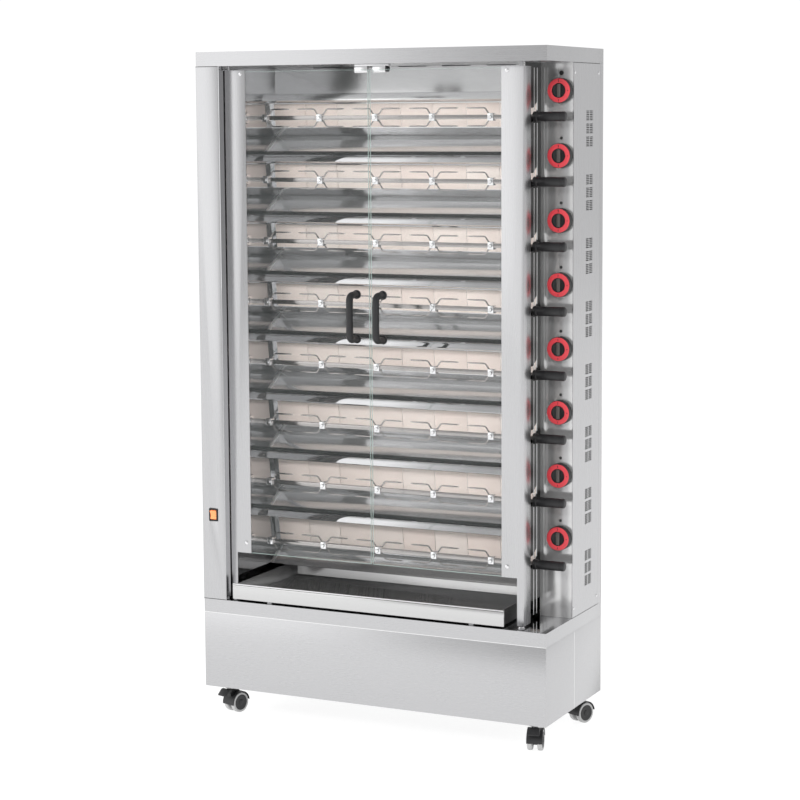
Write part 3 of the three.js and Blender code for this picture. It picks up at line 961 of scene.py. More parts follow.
@dataclass
class Casing:
    """The sheet metal outside: cap, column, side, back, base, and the screws in them."""

    edge: float = 0.72
    corner: float = 3.0
    base_edge: float = 0.6
    seam: float = 1.5
    seam_depth: float = 0.5
    skin: float = 0.15
    joint_half: float = 1.0
    joint_foot: float = 4.0
    joint_top: float = 1.5
    screw_inset: float = 9.0
    screw_rise: float = 27.0
    rear_inset: float = 15.0
    rear_rows: int = 6
    rear_middle: float = 200.0
    louvre_size: Flat = (54.0, 29.0)
    louvre_rows: int = 3
    louvre_pitch: float = 36.0
    louvre_drop: float = 53.5
    louvre_rear: float = 53.7
    louvre_depth: float = 0.3
    slots: int = 6
    slot_end: float = 3.0
    slot_middle: float = 2.4
    lap: float = 0.2

    def build(self) -> None:
        """Dresses the casing and adds its screws and louvres."""
        for node, finish in (("top_cap", Shelf.brushed_across),
                             ("left_column_cover", Shelf.brushed_up),
                             ("right_side_cover", Shelf.brushed_up),
                             ("rear_cover", Shelf.brushed_up),
                             ("base_deck", Shelf.brushed_across)):
            obj = soften(node, finish, self.edge, corner=self.corner)
            if node == "base_deck":
                two_tone(obj, Shelf.deck, Vector((0.0, 0.0, 1.0)))
        self.base()
        dress("control_panel", Shelf.panel)
        dress("gear_motor", Shelf.cast)
        self.seams()
        self.side_screws()
        self.rear_screws()
        self.louvres()

    def seams(self) -> None:
        """Painted shade in the gaps where the covers meet the cap and the deck, and a painted
        highlight on the joint below the deck.
        """
        gap, skin, depth = self.seam, self.skin, self.seam_depth
        low, high = box_mm("left_column_cover")
        dark = Form()
        for z in (low.z, high.z - gap):
            dark.add(Form().box((low.x - skin, low.y - skin, z), (high.x, low.y + depth, z + gap)))
        low, high = box_mm("right_side_cover")
        for z in (low.z, high.z - gap):
            dark.add(Form().box((high.x - depth, low.y, z), (high.x + skin, high.y, z + gap)))
        # dark strips: painted shade where the gaps at the covers' ends are in shade
        Piece("cover_joints", FRAME_BODY, Shelf.mark).put(dark.bevel(THIN_EDGE, 1))
        low, high = box_mm("base_deck")
        foot = box_mm("base_cabinet")[1].z
        light = Form().box((low.x - skin, low.y - skin, foot),
                           (high.x + skin, low.y + depth, foot + gap))
        # bright strip: painted highlight along the joint below the deck
        Piece("deck_joint", FRAME_BODY, Shelf.painted_highlight).put(light.bevel(THIN_EDGE, 1))

    def base(self) -> None:
        """The base cabinet, with a bright strip of painted highlight on the joint of its side
        sheets.
        """
        low, high = box_mm("base_cabinet")
        form = Form.of_node("base_cabinet").bevel(self.corner, 3, upright=True)
        form.bevel(self.base_edge)
        Piece("base_cabinet_sheet", FRAME_BODY, Shelf.brushed_across, ["base_cabinet"]).put(form)
        middle = (low.y + high.y) / 2
        joint = Form()
        for x in (low.x, high.x):
            joint.add(Form().box(
                (x - self.skin, middle - self.joint_half, low.z + self.joint_foot),
                (x + self.skin, middle + self.joint_half, high.z - self.joint_top)
            ).bevel(THIN_EDGE, 1))
        # bright strips: painted highlight on the joints of the side sheets
        Piece("base_side_joints", FRAME_BODY, Shelf.painted_highlight).put(joint)

    def side_screws(self) -> None:
        """Screws at the corners of the side cover."""
        low, high = box_mm("right_side_cover")
        inset, rise = self.screw_inset, self.screw_rise
        spots = [(high.x, y, z) for y in (low.y + inset, high.y - inset)
                 for z in (low.z + rise, high.z - rise)]
        head = screw_head(Axis.X).move(Matrix.Rotation(math.pi, 4, "Z"))
        SPOTS.run(Piece("side_cover_screws", FRAME_BODY, Shelf.chrome), head, spots,
                  Turn_Axis=(1.0, 0.0, 0.0), Largest_Turn=SCREW_TURN)

    def rear_screws(self) -> None:
        """Screws down both sides and along the ends of the rear cover."""
        low, high = box_mm("rear_cover")
        inset, rows, middle = self.rear_inset, self.rear_rows, self.rear_middle
        spots = [(x, high.y, low.z + inset + i * (high.z - low.z - 2 * inset) / (rows - 1))
                 for x in (low.x + inset, high.x - inset) for i in range(rows)]
        spots += [(x, high.y, z) for x in (-middle, middle)
                  for z in (low.z + inset, high.z - inset)]
        head = screw_head(Axis.Y).move(Matrix.Rotation(math.pi, 4, "Z"))
        SPOTS.run(Piece("rear_cover_screws", FRAME_BODY, Shelf.chrome), head, spots,
                  Turn_Axis=(0.0, 1.0, 0.0), Largest_Turn=SCREW_TURN)

    def louvres(self) -> None:
        """Slotted blocks in the openings of the side cover, by each knob."""
        high = box_mm("right_side_cover")[1]
        front = high.y - self.louvre_rear - self.louvre_size[0]
        spots = []
        for level in LEVELS:
            top = joint_mm(f"knob_{level}_turn").z - self.louvre_drop
            spots += [(high.x - self.louvre_depth, front, top - row * self.louvre_pitch)
                      for row in range(self.louvre_rows)]
        SPOTS.run(Piece("side_louvres", FRAME_BODY, Shelf.brushed_up), self.louvre_block(), spots,
                  Turn_Axis=(0.0, 0.0, 1.0), Largest_Turn=0.0)

    def louvre_block(self) -> Form:
        """Two columns of fine slots, with its top front corner at the origin.

        Returns:
            The form.
        """
        wide, tall = self.louvre_size
        lap, end, middle = self.lap, self.slot_end, self.slot_middle
        step = tall / self.slots
        block = Form()
        for i in range(self.slots + 1):
            z = -i * step
            block.prism([(-1.6, z - 1.5), (-0.5, z - 1.3), (0.0, z - 0.6), (0.0, z + 1.1),
                         (-1.1, z + 1.1)], Axis.Y, -lap, wide + lap)
        for y0, y1 in ((-lap, end), (wide / 2 - middle, wide / 2 + middle),
                       (wide - end, wide + lap)):
            block.box((-1.5, y0, -tall), (-0.15, y1, 0.0))
        return block


@dataclass
class Burners:
    """Eight burners with their rows of ceramic plaques, and the chamber walls beside them.

    The ends of each fold, slope and nose, are (back, up) from the spit's axis. A plaque leans as
    the line from foot to top does, and foot's height counts from that axis too.
    """

    plaque_pitch: float = 104.0
    plaque_joint: float = 1.2
    plaque_foot: float = 1.0
    plaque_slack: float = 2.0
    plaque_edge: float = 0.9
    first: float = -449.0
    plaques: int = 8
    end_gap: float = 4.0
    thick: float = 3.2
    proud: float = 1.4
    face: float = 159.8
    edge: float = 0.8
    wall_edge: float = 0.3
    same_way: float = 0.995
    top: Flat = (-44.25, 42.0)
    foot: Flat = (-33.25, -29.0)
    slope: tuple[Flat, Flat] = ((195.0, -54.0), (127.0, -97.5))
    nose: tuple[Flat, Flat] = ((127.0, -97.5), (117.0, -107.0))
    fold: float = 2.4
    fold_ends: Flat = (0.1, 2.6)
    rail_spots: tuple[Flat, ...] = ((5.0, 3.0), (27.0, 3.5))
    rail_ends: Flat = (14.0, 12.0)
    rail_break: float = 17.0
    rail_depth: Flat = (0.4, 1.2)

    def build(self) -> None:
        """Builds the housings and the plaques of each level."""
        dress("left_chamber_wall", Shelf.wall)
        # the wall's outer face in near-black steel: painted shade for the dark that it reflects
        two_tone(soften("right_chamber_wall", Shelf.wall, self.wall_edge, 1), Shelf.shade,
                 Vector((1.0, 0.0, 0.0)))
        self.rails()
        for level in LEVELS:
            obj = soften(f"burner_{level}", Shelf.burner, self.edge)
            two_tone(obj, Shelf.plate, self.facing(self.slope), self.same_way)
            # the nose fold in near-black steel: painted shade for the dark that it reflects
            two_tone(obj, Shelf.shade, self.facing(self.nose), self.same_way)
            if level == 1:
                two_tone(obj, Shelf.satin, Vector((0.0, -1.0, 0.0)))
            self.row(level)
            self.end_fold_highlight(level)

    @staticmethod
    def facing(fold: tuple[Flat, Flat]) -> Vector:
        """The way that a fold's upper face looks, towards the doors and up."""
        (y0, z0), (y1, z1) = fold
        return Vector((0.0, -abs(z0 - z1), abs(y0 - y1))).normalized()

    def rails(self) -> None:
        """Two thin rails down the outer face of the right chamber wall, bright as a painted
        highlight on its folds.
        """
        low, high = box_mm("right_chamber_wall")
        axle = joint_mm("spit_1_turn")
        inside, proud = self.rail_depth
        form = Form()
        for y, wide in self.rail_spots:
            ends = [high.z - self.rail_ends[0]]
            for level in LEVELS:
                z = joint_mm(f"spit_{level}_turn").z
                ends += [z + self.rail_break, z - self.rail_break]
            ends.append(low.z + self.rail_ends[1])
            for top, foot in zip(ends[::2], ends[1::2]):
                form.add(Form().box((high.x - inside, axle.y + y - wide / 2, foot),
                                    (high.x + proud, axle.y + y + wide / 2, top)).bevel(0.4, 1))
        # near-white steel: painted highlight on the wall's folded ribs
        Piece("right_wall_rails", FRAME_BODY, Shelf.painted_highlight).put(form)

    def end_fold_highlight(self, level: int) -> None:
        """The folded edge at the left end of a burner's sloping plate, bright as a painted
        highlight.

        Args:
            level: the burner, counted from 1.
        """
        low = box_mm(f"burner_{level}")[0]
        axle = joint_mm(f"spit_{level}_turn")
        (y0, z0), (y1, z1) = self.slope
        rise = Vector((z0 - z1, y0 - y1)).normalized() * self.fold
        start, end = (low.x + x for x in self.fold_ends)
        outline = [(axle.y + y, axle.z + z) for y, z in (
            (y0, z0), (y1, z1), (y1 - rise.x, z1 + rise.y), (y0 - rise.x, z0 + rise.y))]
        form = Form().prism(outline, Axis.X, start, end).bevel(0.5, 1)
        # near-white steel: painted highlight on the plate's end edge
        Piece(f"burner_{level}_end_fold", FRAME_BODY, Shelf.painted_highlight).put(form)

    def plaque(self, width: float) -> Form:
        """One plaque with eased edges, lying on the housing's sloping face at the origin.

        Args:
            width: its width, with the joint.

        Returns:
            The form.
        """
        rise = self.top[1] - self.foot[1] - self.plaque_slack
        lean = math.atan2(self.foot[0] - self.top[0], self.top[1] - self.foot[1])
        side, foot = self.plaque_joint / 2, self.plaque_foot
        form = Form().box((side, -self.proud, foot),
                          (width - side, self.thick - self.proud, foot + rise))
        form.bevel(self.plaque_edge, 2)
        return form.move(Matrix.Rotation(lean, 4, "X"))

    def row(self, level: int) -> None:
        """The row of plaques of one burner.

        Args:
            level: the burner, counted from 1.
        """
        high = box_mm(f"burner_{level}")[1]
        z = joint_mm(f"spit_{level}_turn").z
        y = self.face_y()
        start = (self.first * MM, y * MM, (z + self.foot[1]) * MM)
        piece = Piece(f"burner_{level}_plaques", FRAME_BODY, Shelf.plaque)
        ROW.run(piece, self.plaque(self.plaque_pitch), [(0, 0, 0)], Count=self.plaques,
                Start=start, Pitch=(self.plaque_pitch * MM, 0.0, 0.0),
                Turn_Axis=(0.0, 0.0, 1.0), Largest_Turn=0.0)
        end = self.first + self.plaques * self.plaque_pitch
        last = self.plaque(high.x - self.end_gap - end)
        Piece(f"burner_{level}_end_plaque", FRAME_BODY, Shelf.plaque).put(
            last.move(Matrix.Translation((end, y, z + self.foot[1]))))

    def face_y(self) -> float:
        """The housing's face at the foot of the plaques, behind the spits."""
        return joint_mm("spit_1_turn").y + self.face


@dataclass
class Spits:
    """Eight square bars with their chucks, forks and black handles."""

    half: float = 6.0
    bar_start: float = 11.0
    bar_end: float = 3.5
    wall: float = 2.0
    spindle: float = 8.0
    stub: Flat = (5.0, 70.0)
    sprocket_gap: float = 19.0
    sprocket_wide: float = 5.0
    teeth: int = 20
    tooth: Flat = (28.0, 31.4)
    prong: float = 2.1
    hub: Flat = (9.0, 10.5)
    fork_count: int = 5
    left_gap: float = 72.0
    right_gap: float = 121.5

    def build(self) -> None:
        """Builds each level's spit and handle."""
        left = box_mm("left_chamber_wall")[1].x
        right = box_mm("right_chamber_wall")[0].x
        for level in LEVELS:
            body = f"spit_{level}_set"
            centre = joint_mm(f"spit_{level}_turn")
            move = Matrix.Translation((0.0, centre.y, centre.z))
            Piece(f"spit_{level}_bar", body, Shelf.bar, [f"spit_{level}"]).put(
                self.spit(left, right).move(move))
            Piece(f"spit_{level}_hubs", body, Shelf.chrome).put(self.hubs(left, right).move(move))
            self.handle(level, body, move)

    def places(self, left: float, right: float) -> list[float]:
        """Where the forks sit along the bar."""
        pitch = (right - self.right_gap - left - self.left_gap) / (self.fork_count - 1)
        return [left + self.left_gap + i * pitch for i in range(self.fork_count)]

    def hubs(self, left: float, right: float) -> Form:
        """The bright disc on the drive end, and each fork's block with its thumb screw.

        Args:
            left: the inner face of the left chamber wall.
            right: the inner face of the right chamber wall.

        Returns:
            The form, on the X axis.
        """
        form = Form().turned([(0, 0.6), (14.5, 0.6), (16.5, 2.0), (16.5, 8.5), (15.0, 10.5),
                              (9.5, 10.5), (9.5, 12.0), (0, 12.0)], Axis.X, (left, 0, 0), 32)
        along, across = self.hub
        for x in self.places(left, right):
            form.add(Form().box((x - along, -across, -across), (x + along, across, across))
                     .bevel(1.6, 2))
            form.add(Form().turned([(0.0, -16.5), (4.6, -16.5), (5.4, -15.5), (5.4, -12.5),
                                    (3.0, -11.5), (3.0, -9.0), (0.0, -9.0)],
                                   Axis.Y, (x, 0, 0), 14))
        return form

    def fork(self, x: float, sides: Sequence[int]) -> Form:
        """The bent prongs of one fork, two to each side.

        Args:
            x: where it sits on the bar.
            sides: -1 for prongs to the left, 1 for prongs to the right.

        Returns:
            The form.
        """
        form = Form()
        for side in sides:
            for up in (-1, 1):
                line = [(5, 8.5), (10, 10.5), (14, 16), (18, 22), (21.5, 24.4), (26, 25.0),
                        (50, 25.0), (70, 25.0), (78, 25.0)]
                path = [Vector((x + side * u, 0.0, up * v)) for u, v in line]
                radii = [self.prong] * (len(path) - 2) + [self.prong * 0.8, 0.0]
                form.tube(path, radii, 10)
        return form

    def spit(self, left: float, right: float) -> Form:
        """The bar with its prongs, chain wheel and round ends, on the X axis.

        Args:
            left: the inner face of the left chamber wall.
            right: the inner face of the right chamber wall.

        Returns:
            The form.
        """
        half, spindle, wall = self.half, self.spindle, self.wall
        sprocket = left - self.sprocket_gap
        radius, length = self.stub
        bar = Form().box((left + self.bar_start, -half, -half),
                         (right + self.bar_end, half, half)).bevel(0.9, 2)
        bar.turned([(0, sprocket - left), (spindle, sprocket - left), (spindle, wall), (0, wall)],
                   Axis.X, (left, 0, 0), 24)
        bar.add(self.sprocket(sprocket))
        bar.turned([(0, 0), (radius, 0), (radius, length), (0, length)], Axis.X,
                   (right + wall, 0, 0), 16)
        for i, x in enumerate(self.places(left, right)):
            sides = [s for s, there in ((-1, i > 0), (1, i < self.fork_count - 1)) if there]
            bar.add(self.fork(x, sides))
        return bar

    def sprocket(self, x: float) -> Form:
        """The chain wheel on the drive end.

        Args:
            x: where its left face is.

        Returns:
            The form.
        """
        root, tip = self.tooth
        corners = self.teeth * 4
        outline = []
        for i in range(corners):
            angle = 2 * math.pi * i / corners
            radius = (root, tip, tip, root)[i % 4]
            outline.append((radius * math.cos(angle), radius * math.sin(angle)))
        return Form().prism(outline, Axis.X, x, x + self.sprocket_wide)

    def handle(self, level: int, body: str, move: Matrix) -> None:
        """The black grip on the free end, with a collar, a rounded end and shallow rings.

        Args:
            level: the spit, counted from 1.
            body: the body that it rides on.
            move: from the X axis to the spit.
        """
        low, high = box_mm(f"spit_handle_{level}")
        x0, length = low.x, high.x - low.x
        profile = [(0.0, 0.0), (13.4, 0.0), (14.4, 1.0), (14.4, 10.5), (13.6, 11.6), (12.9, 12.4),
                   (12.9, 15.0), (13.2, 16.0), (13.2, length - 14.0), (12.7, length - 13.2),
                   (12.7, length - 12.0), (13.3, length - 11.2), (13.3, length - 5.0),
                   (12.4, length - 2.2), (10.2, length - 0.5), (8.0, length), (0.0, length)]
        form = Form().turned(profile, Axis.X, (x0, 0, 0), 40).move(move)
        Piece(f"spit_handle_{level}_grip", body, Shelf.black, [f"spit_handle_{level}"]).put(form)


@dataclass
class Knobs:
    """Eight gas knobs: black bodies, red rings, grip bars, and index marks on the panel."""

    radius: float = 34.0
    depth: float = 22.0
    ring_in: float = 20.5
    sides: int = 64
    bar: Flat = (5.2, 18.0)
    bar_proud: float = 1.8
    bar_foot: float = 5.5
    ribs: tuple[float, ...] = (-2.4, 0.0, 2.4)
    rib: Flat = (0.5, 15.0)
    rib_depth: Flat = (2.3, 1.6)
    tick_sizes: tuple[Flat, ...] = ((0.0, 4.2), (90.0, 2.6), (180.0, 3.4))
    mark_rise: float = 48.0
    mark_radii: Flat = (6.4, 4.2)

    def build(self) -> None:
        """Builds each knob, then the marks."""
        face = box_mm("control_panel")[0].y
        spots = []
        for level in LEVELS:
            centre = joint_mm(f"knob_{level}_turn")
            at = (centre.x, face, centre.z)
            body = f"knob_{level}_set"
            Piece(f"knob_{level}_body", body, Shelf.black, [f"knob_{level}"]).put(self.body(at))
            Piece(f"knob_{level}_grip", body, Shelf.grip).put(self.grip(at))
            Piece(f"knob_{level}_ring", body, Shelf.red).put(self.ring(at))
            Piece(f"knob_{level}_ticks", body, Shelf.mark).put(self.ticks(at))
            spots.append((centre.x, face, centre.z + self.mark_rise))
        for name, radius, places in (("first_index_mark", self.mark_radii[0], spots[:1]),
                                     ("knob_index_marks", self.mark_radii[1], spots[1:])):
            mark = Form().turned([(0, 0.3), (radius, 0.3), (radius, -0.5), (radius - 0.6, -0.9),
                                  (0, -0.9)], Axis.Y, (0, 0, 0), 20)
            SPOTS.run(Piece(name, FRAME_BODY, Shelf.mark), mark, places,
                      Turn_Axis=(0.0, 1.0, 0.0), Largest_Turn=0.0)

    def body(self, at: Point) -> Form:
        """The black skirt and recess, with its stem behind the panel.

        Args:
            at: where the knob's axis meets the panel.

        Returns:
            The form.
        """
        r, d, inner = self.radius, self.depth, self.ring_in
        profile = [(0, 14), (4, 14), (4, -0.9), (r - 1.6, -0.9), (r, -2.2), (r, -4.5),
                   (r - 0.7, -5.2), (r - 0.7, -6.4), (r - 0.2, -7.2), (r - 0.4, -d + 2.4),
                   (r - 1.4, -d + 0.6), (r - 2.6, -d), (inner, -d), (inner - 1.2, -d + 0.8),
                   (inner - 2.4, -d + 4.4), (inner - 4.0, -d + 5.0), (0, -d + 5.0)]
        return Form().turned(profile, Axis.Y, at, self.sides)

    def grip(self, at: Point) -> Form:
        """The ridged bar across the recess.

        Args:
            at: where the knob's axis meets the panel.

        Returns:
            The form.
        """
        d = self.depth
        (half, tall), (thin, long), (top, foot) = self.bar, self.rib, self.rib_depth
        bar = Form().box((-half, -d - self.bar_proud, -tall),
                         (half, -d + self.bar_foot, tall)).bevel(2.2, 3)
        for x in self.ribs:
            bar.add(Form().box((x - thin, -d - top, -long),
                               (x + thin, -d - foot, long)).bevel(0.3, 1))
        return bar.move(Matrix.Translation(at))

    def ring(self, at: Point) -> Form:
        """The printed red ring, as a thin washer on the face.

        Args:
            at: where the knob's axis meets the panel.

        Returns:
            The form.
        """
        d, outer, inner = self.depth, self.radius - 1.2, self.ring_in - 0.4
        profile = [(inner, -d + 0.4), (inner, -d - 0.35), (inner + 0.4, -d - 0.6),
                   (outer - 1.6, -d - 0.6), (outer - 0.4, -d - 0.1), (outer, -d + 0.8),
                   (outer - 0.6, -d + 1.0)]
        return washer(profile, at, self.sides)

    def ticks(self, at: Point) -> Form:
        """Plain marks on the ring, for off, full and low.

        Args:
            at: where the knob's axis meets the panel.

        Returns:
            The form.
        """
        form = Form()
        middle = (self.ring_in + self.radius) / 2
        for degrees, size in self.tick_sizes:
            tick = Form().box((-0.9, -self.depth - 1.0, middle - size),
                              (0.9, -self.depth - 0.3, middle + size - 1.2)).bevel(0.3, 1)
            tick.move(Matrix.Rotation(math.radians(degrees), 4, "Y"))
            form.add(tick, at)
        return form


def washer(profile: Sequence[Flat], at: Point, sides: int, axis: Axis = Axis.Y) -> Form:
    """A closed ring about an axis, from a closed profile of (radius, distance) pairs.

    Args:
        profile: the closed profile.
        at: a point on the axis, from which the distances count.
        sides: steps round the axis.
        axis: the axis it is turned about.

    Returns:
        The form.
    """
    form = Form()
    rings = [[form.bm.verts.new(Vector(at) + axis.at(
        r * math.cos(2 * math.pi * i / sides), r * math.sin(2 * math.pi * i / sides), w))
        for i in range(sides)] for r, w in profile]
    for a, b in zip(rings, rings[1:] + rings[:1]):
        for i in range(sides):
            j = (i + 1) % sides
            form.bm.faces.new([a[i], a[j], b[j], b[i]]).smooth = True
    return form


@dataclass
class Doors:
    """Two leaves: steel stiles with screws, clear panes and black bow handles, with their catch."""

    bar: float = 10.5
    bend: float = 17.0
    bend_steps: int = 7
    foot_straight: float = 8.0
    bar_straight: float = 15.0
    screw_inset: float = 16.0
    screw_top: float = 26.0
    screw_foot: float = 30.0
    catch_span: Flat = (-52.0, 54.0)
    catch_hooks: tuple[Flat, ...] = ((-52.0, -12.0), (4.0, 44.0))

    def build(self) -> None:
        """Builds both leaves and the catch that they meet."""
        for side, sign in (("left", -1), ("right", 1)):
            body = f"{side}_door"
            soften(f"{side}_door_stile", Shelf.brushed_up, 0.7)
            self.pane(side, body)
            self.handle(side, body)
            self.screws(side, sign, body)
            self.pivot(side)
        self.catch()

    def pivot(self, side: str) -> None:
        """The bright bush that a leaf's lower pin stands in.

        Args:
            side: left or right.
        """
        at = joint_mm(f"{side}_door_hinge")
        profile = [(4.7, -0.2), (11.0, -0.2), (11.0, 1.6), (9.0, 2.2), (8.0, 4.4), (5.4, 4.8),
                   (4.7, 4.2)]
        Piece(f"{side}_door_bush", FRAME_BODY, Shelf.chrome).put(
            washer(profile, tuple(at), 32, Axis.Z))

    def pane(self, side: str, body: str) -> None:
        """One pane with ground edges.

        Args:
            side: left or right.
            body: the body that it rides on.
        """
        low, high = box_mm(f"{side}_door_glass")
        form = Form().box(tuple(low), tuple(high)).bevel(0.8, 2)
        obj = Piece(f"{side}_door_pane", body, Shelf.glass, [f"{side}_door_glass"]).put(form)
        obj.data.materials.append(Shelf.of(Shelf.glass_edge))
        for polygon in obj.data.polygons:
            polygon.material_index = 0 if abs(polygon.normal.y) > 0.99 else 1

    def handle(self, side: str, body: str) -> None:
        """A bow with round feet, each on a collar against the glass.

        Args:
            side: left or right.
            body: the body that it rides on.
        """
        low, high = box_mm(f"{side}_door_handle")
        x, z = (low.x + high.x) / 2, (low.z + high.z) / 2
        bar_y, foot_y = low.y + self.bar, high.y
        half = (high.z - low.z) / 2 - self.bar
        arc = []
        for i in range(self.bend_steps + 1):
            angle = math.pi / 2 * i / self.bend_steps
            arc.append((bar_y + self.bend * (1 - math.sin(angle)),
                        half - self.bend * (1 - math.cos(angle))))
        upper = [(foot_y - 2.0, half), (bar_y + self.bend + self.foot_straight, half)] + arc
        middle = [(bar_y, half - self.bend - self.bar_straight), (bar_y, 0.0)]
        line = upper + middle + [(y, -dz) for y, dz in reversed(upper + middle[:1])]
        path = [Vector((x, y, z + dz)) for y, dz in line]
        form = Form().tube(path, self.bar - 0.6, 20)
        for up in (-1, 1):
            form.turned([(0, -9.0), (self.bar - 0.4, -9.0), (self.bar + 1.6, -7.0),
                         (self.bar + 2.4, -4.0), (self.bar + 2.4, -1.0), (self.bar + 1.6, 0.0),
                         (0, 0.0)], Axis.Y, (x, foot_y, z + up * half), 28)
        Piece(f"{side}_door_bow", body, Shelf.black, [f"{side}_door_handle"]).put(form, 45.0)

    def screws(self, side: str, sign: int, body: str) -> None:
        """The two screws that hold the pane in the stile.

        Args:
            side: left or right.
            sign: -1 for the left door and 1 for the right.
            body: the body that they ride on.
        """
        low, high = box_mm(f"{side}_door_stile")
        inner = (low.x if sign > 0 else high.x) + sign * self.screw_inset
        pane_low = box_mm(f"{side}_door_glass")[0].z
        spots = [(inner, low.y, high.z - self.screw_top),
                 (inner, low.y, pane_low + self.screw_foot)]
        head = screw_head(Axis.Y, 6.0, 2.4)
        SPOTS.run(Piece(f"{side}_stile_screws", body, Shelf.chrome), head, spots,
                  Turn_Axis=(0.0, 1.0, 0.0), Largest_Turn=SCREW_TURN)

    def catch(self) -> None:
        """The catch under the cap, behind the top of both panes."""
        top = box_mm("top_cap")[0].z
        y = box_mm("left_door_glass")[1].y
        left, right = self.catch_span
        form = Form().box((left, y + 3, top - 5), (right, y + 17, top - 0.2)).bevel(0.8, 2)
        for x0, x1 in self.catch_hooks:
            form.add(Form().box((x0, y + 2.5, top - 24), (x1, y + 14, top - 4)).bevel(1.2, 2))
        Piece("door_catch", FRAME_BODY, Shelf.chrome).put(form)
        plug = Form().turned([(0, 0), (7, 0), (8, 1.2), (8, 7), (6.5, 8.6), (0, 8.6)],
                             Axis.X, (self.catch_hooks[-1][1], y + 8, top - 14), 24)
        Piece("door_catch_stop", FRAME_BODY, Shelf.black).put(plug)


@dataclass
class Tray:
    """The sliding drip tray, with a rolled lip and a dark line of painted shade under it."""

    edge: float = 0.8
    lip: float = 1.8
    lip_inset: float = 1.5
    line: float = 1.2

    def build(self) -> None:
        """Rounds the tray's edges, and adds the rolled lip with a dark line of painted shade below
        it.
        """
        soften("drip_tray", Shelf.tray, self.edge)
        low, high = box_mm("drip_tray")
        body = frame["nodes"]["drip_tray"]["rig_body"]
        left, right = low.x + self.lip_inset, high.x - self.lip_inset
        ends = [Vector((x, low.y + 1.0, high.z - 1.2)) for x in (left, right)]
        Piece("drip_tray_lip", body, Shelf.chrome).put(Form().tube(ends, self.lip, 16))
        # a dark strip just under the lip: painted shade
        z = high.z - 2 * self.lip - 1.4
        line = Form().box((left, low.y - 0.12, z), (right, low.y + 0.4, z + self.line))
        Piece("drip_tray_line", body, Shelf.mark).put(line.bevel(THIN_EDGE, 1))


@dataclass
class Switch:
    """The lit rocker and its black bezel in the column."""

    rim: float = 3.2
    gap: float = 0.8
    half_tall: float = 15.2
    proud: float = 2.6
    sunk: float = 0.2

    def build(self) -> None:
        """Builds the rocker and the bezel round it."""
        soften("rocker_switch", Shelf.amber, 1.4, 3)
        low, high = box_mm("rocker_switch")
        at = joint_mm("rocker_switch_tilt")
        half_x, half_z = (high.x - low.x) / 2 + self.gap, self.half_tall
        form = Form()
        outer_x, outer_z = half_x + self.rim, half_z + self.rim
        for x0, x1, z0, z1 in ((-outer_x, -half_x, -outer_z, outer_z),
                               (half_x, outer_x, -outer_z, outer_z),
                               (-half_x, half_x, half_z, outer_z),
                               (-half_x, half_x, -outer_z, -half_z)):
            form.box((at.x + x0, at.y - self.proud, at.z + z0),
                     (at.x + x1, at.y + self.sunk, at.z + z1))
        bmesh.ops.remove_doubles(form.bm, verts=form.bm.verts, dist=0.01)
        Piece("rocker_bezel", FRAME_BODY, Shelf.black).put(form.bevel(0.7, 2))


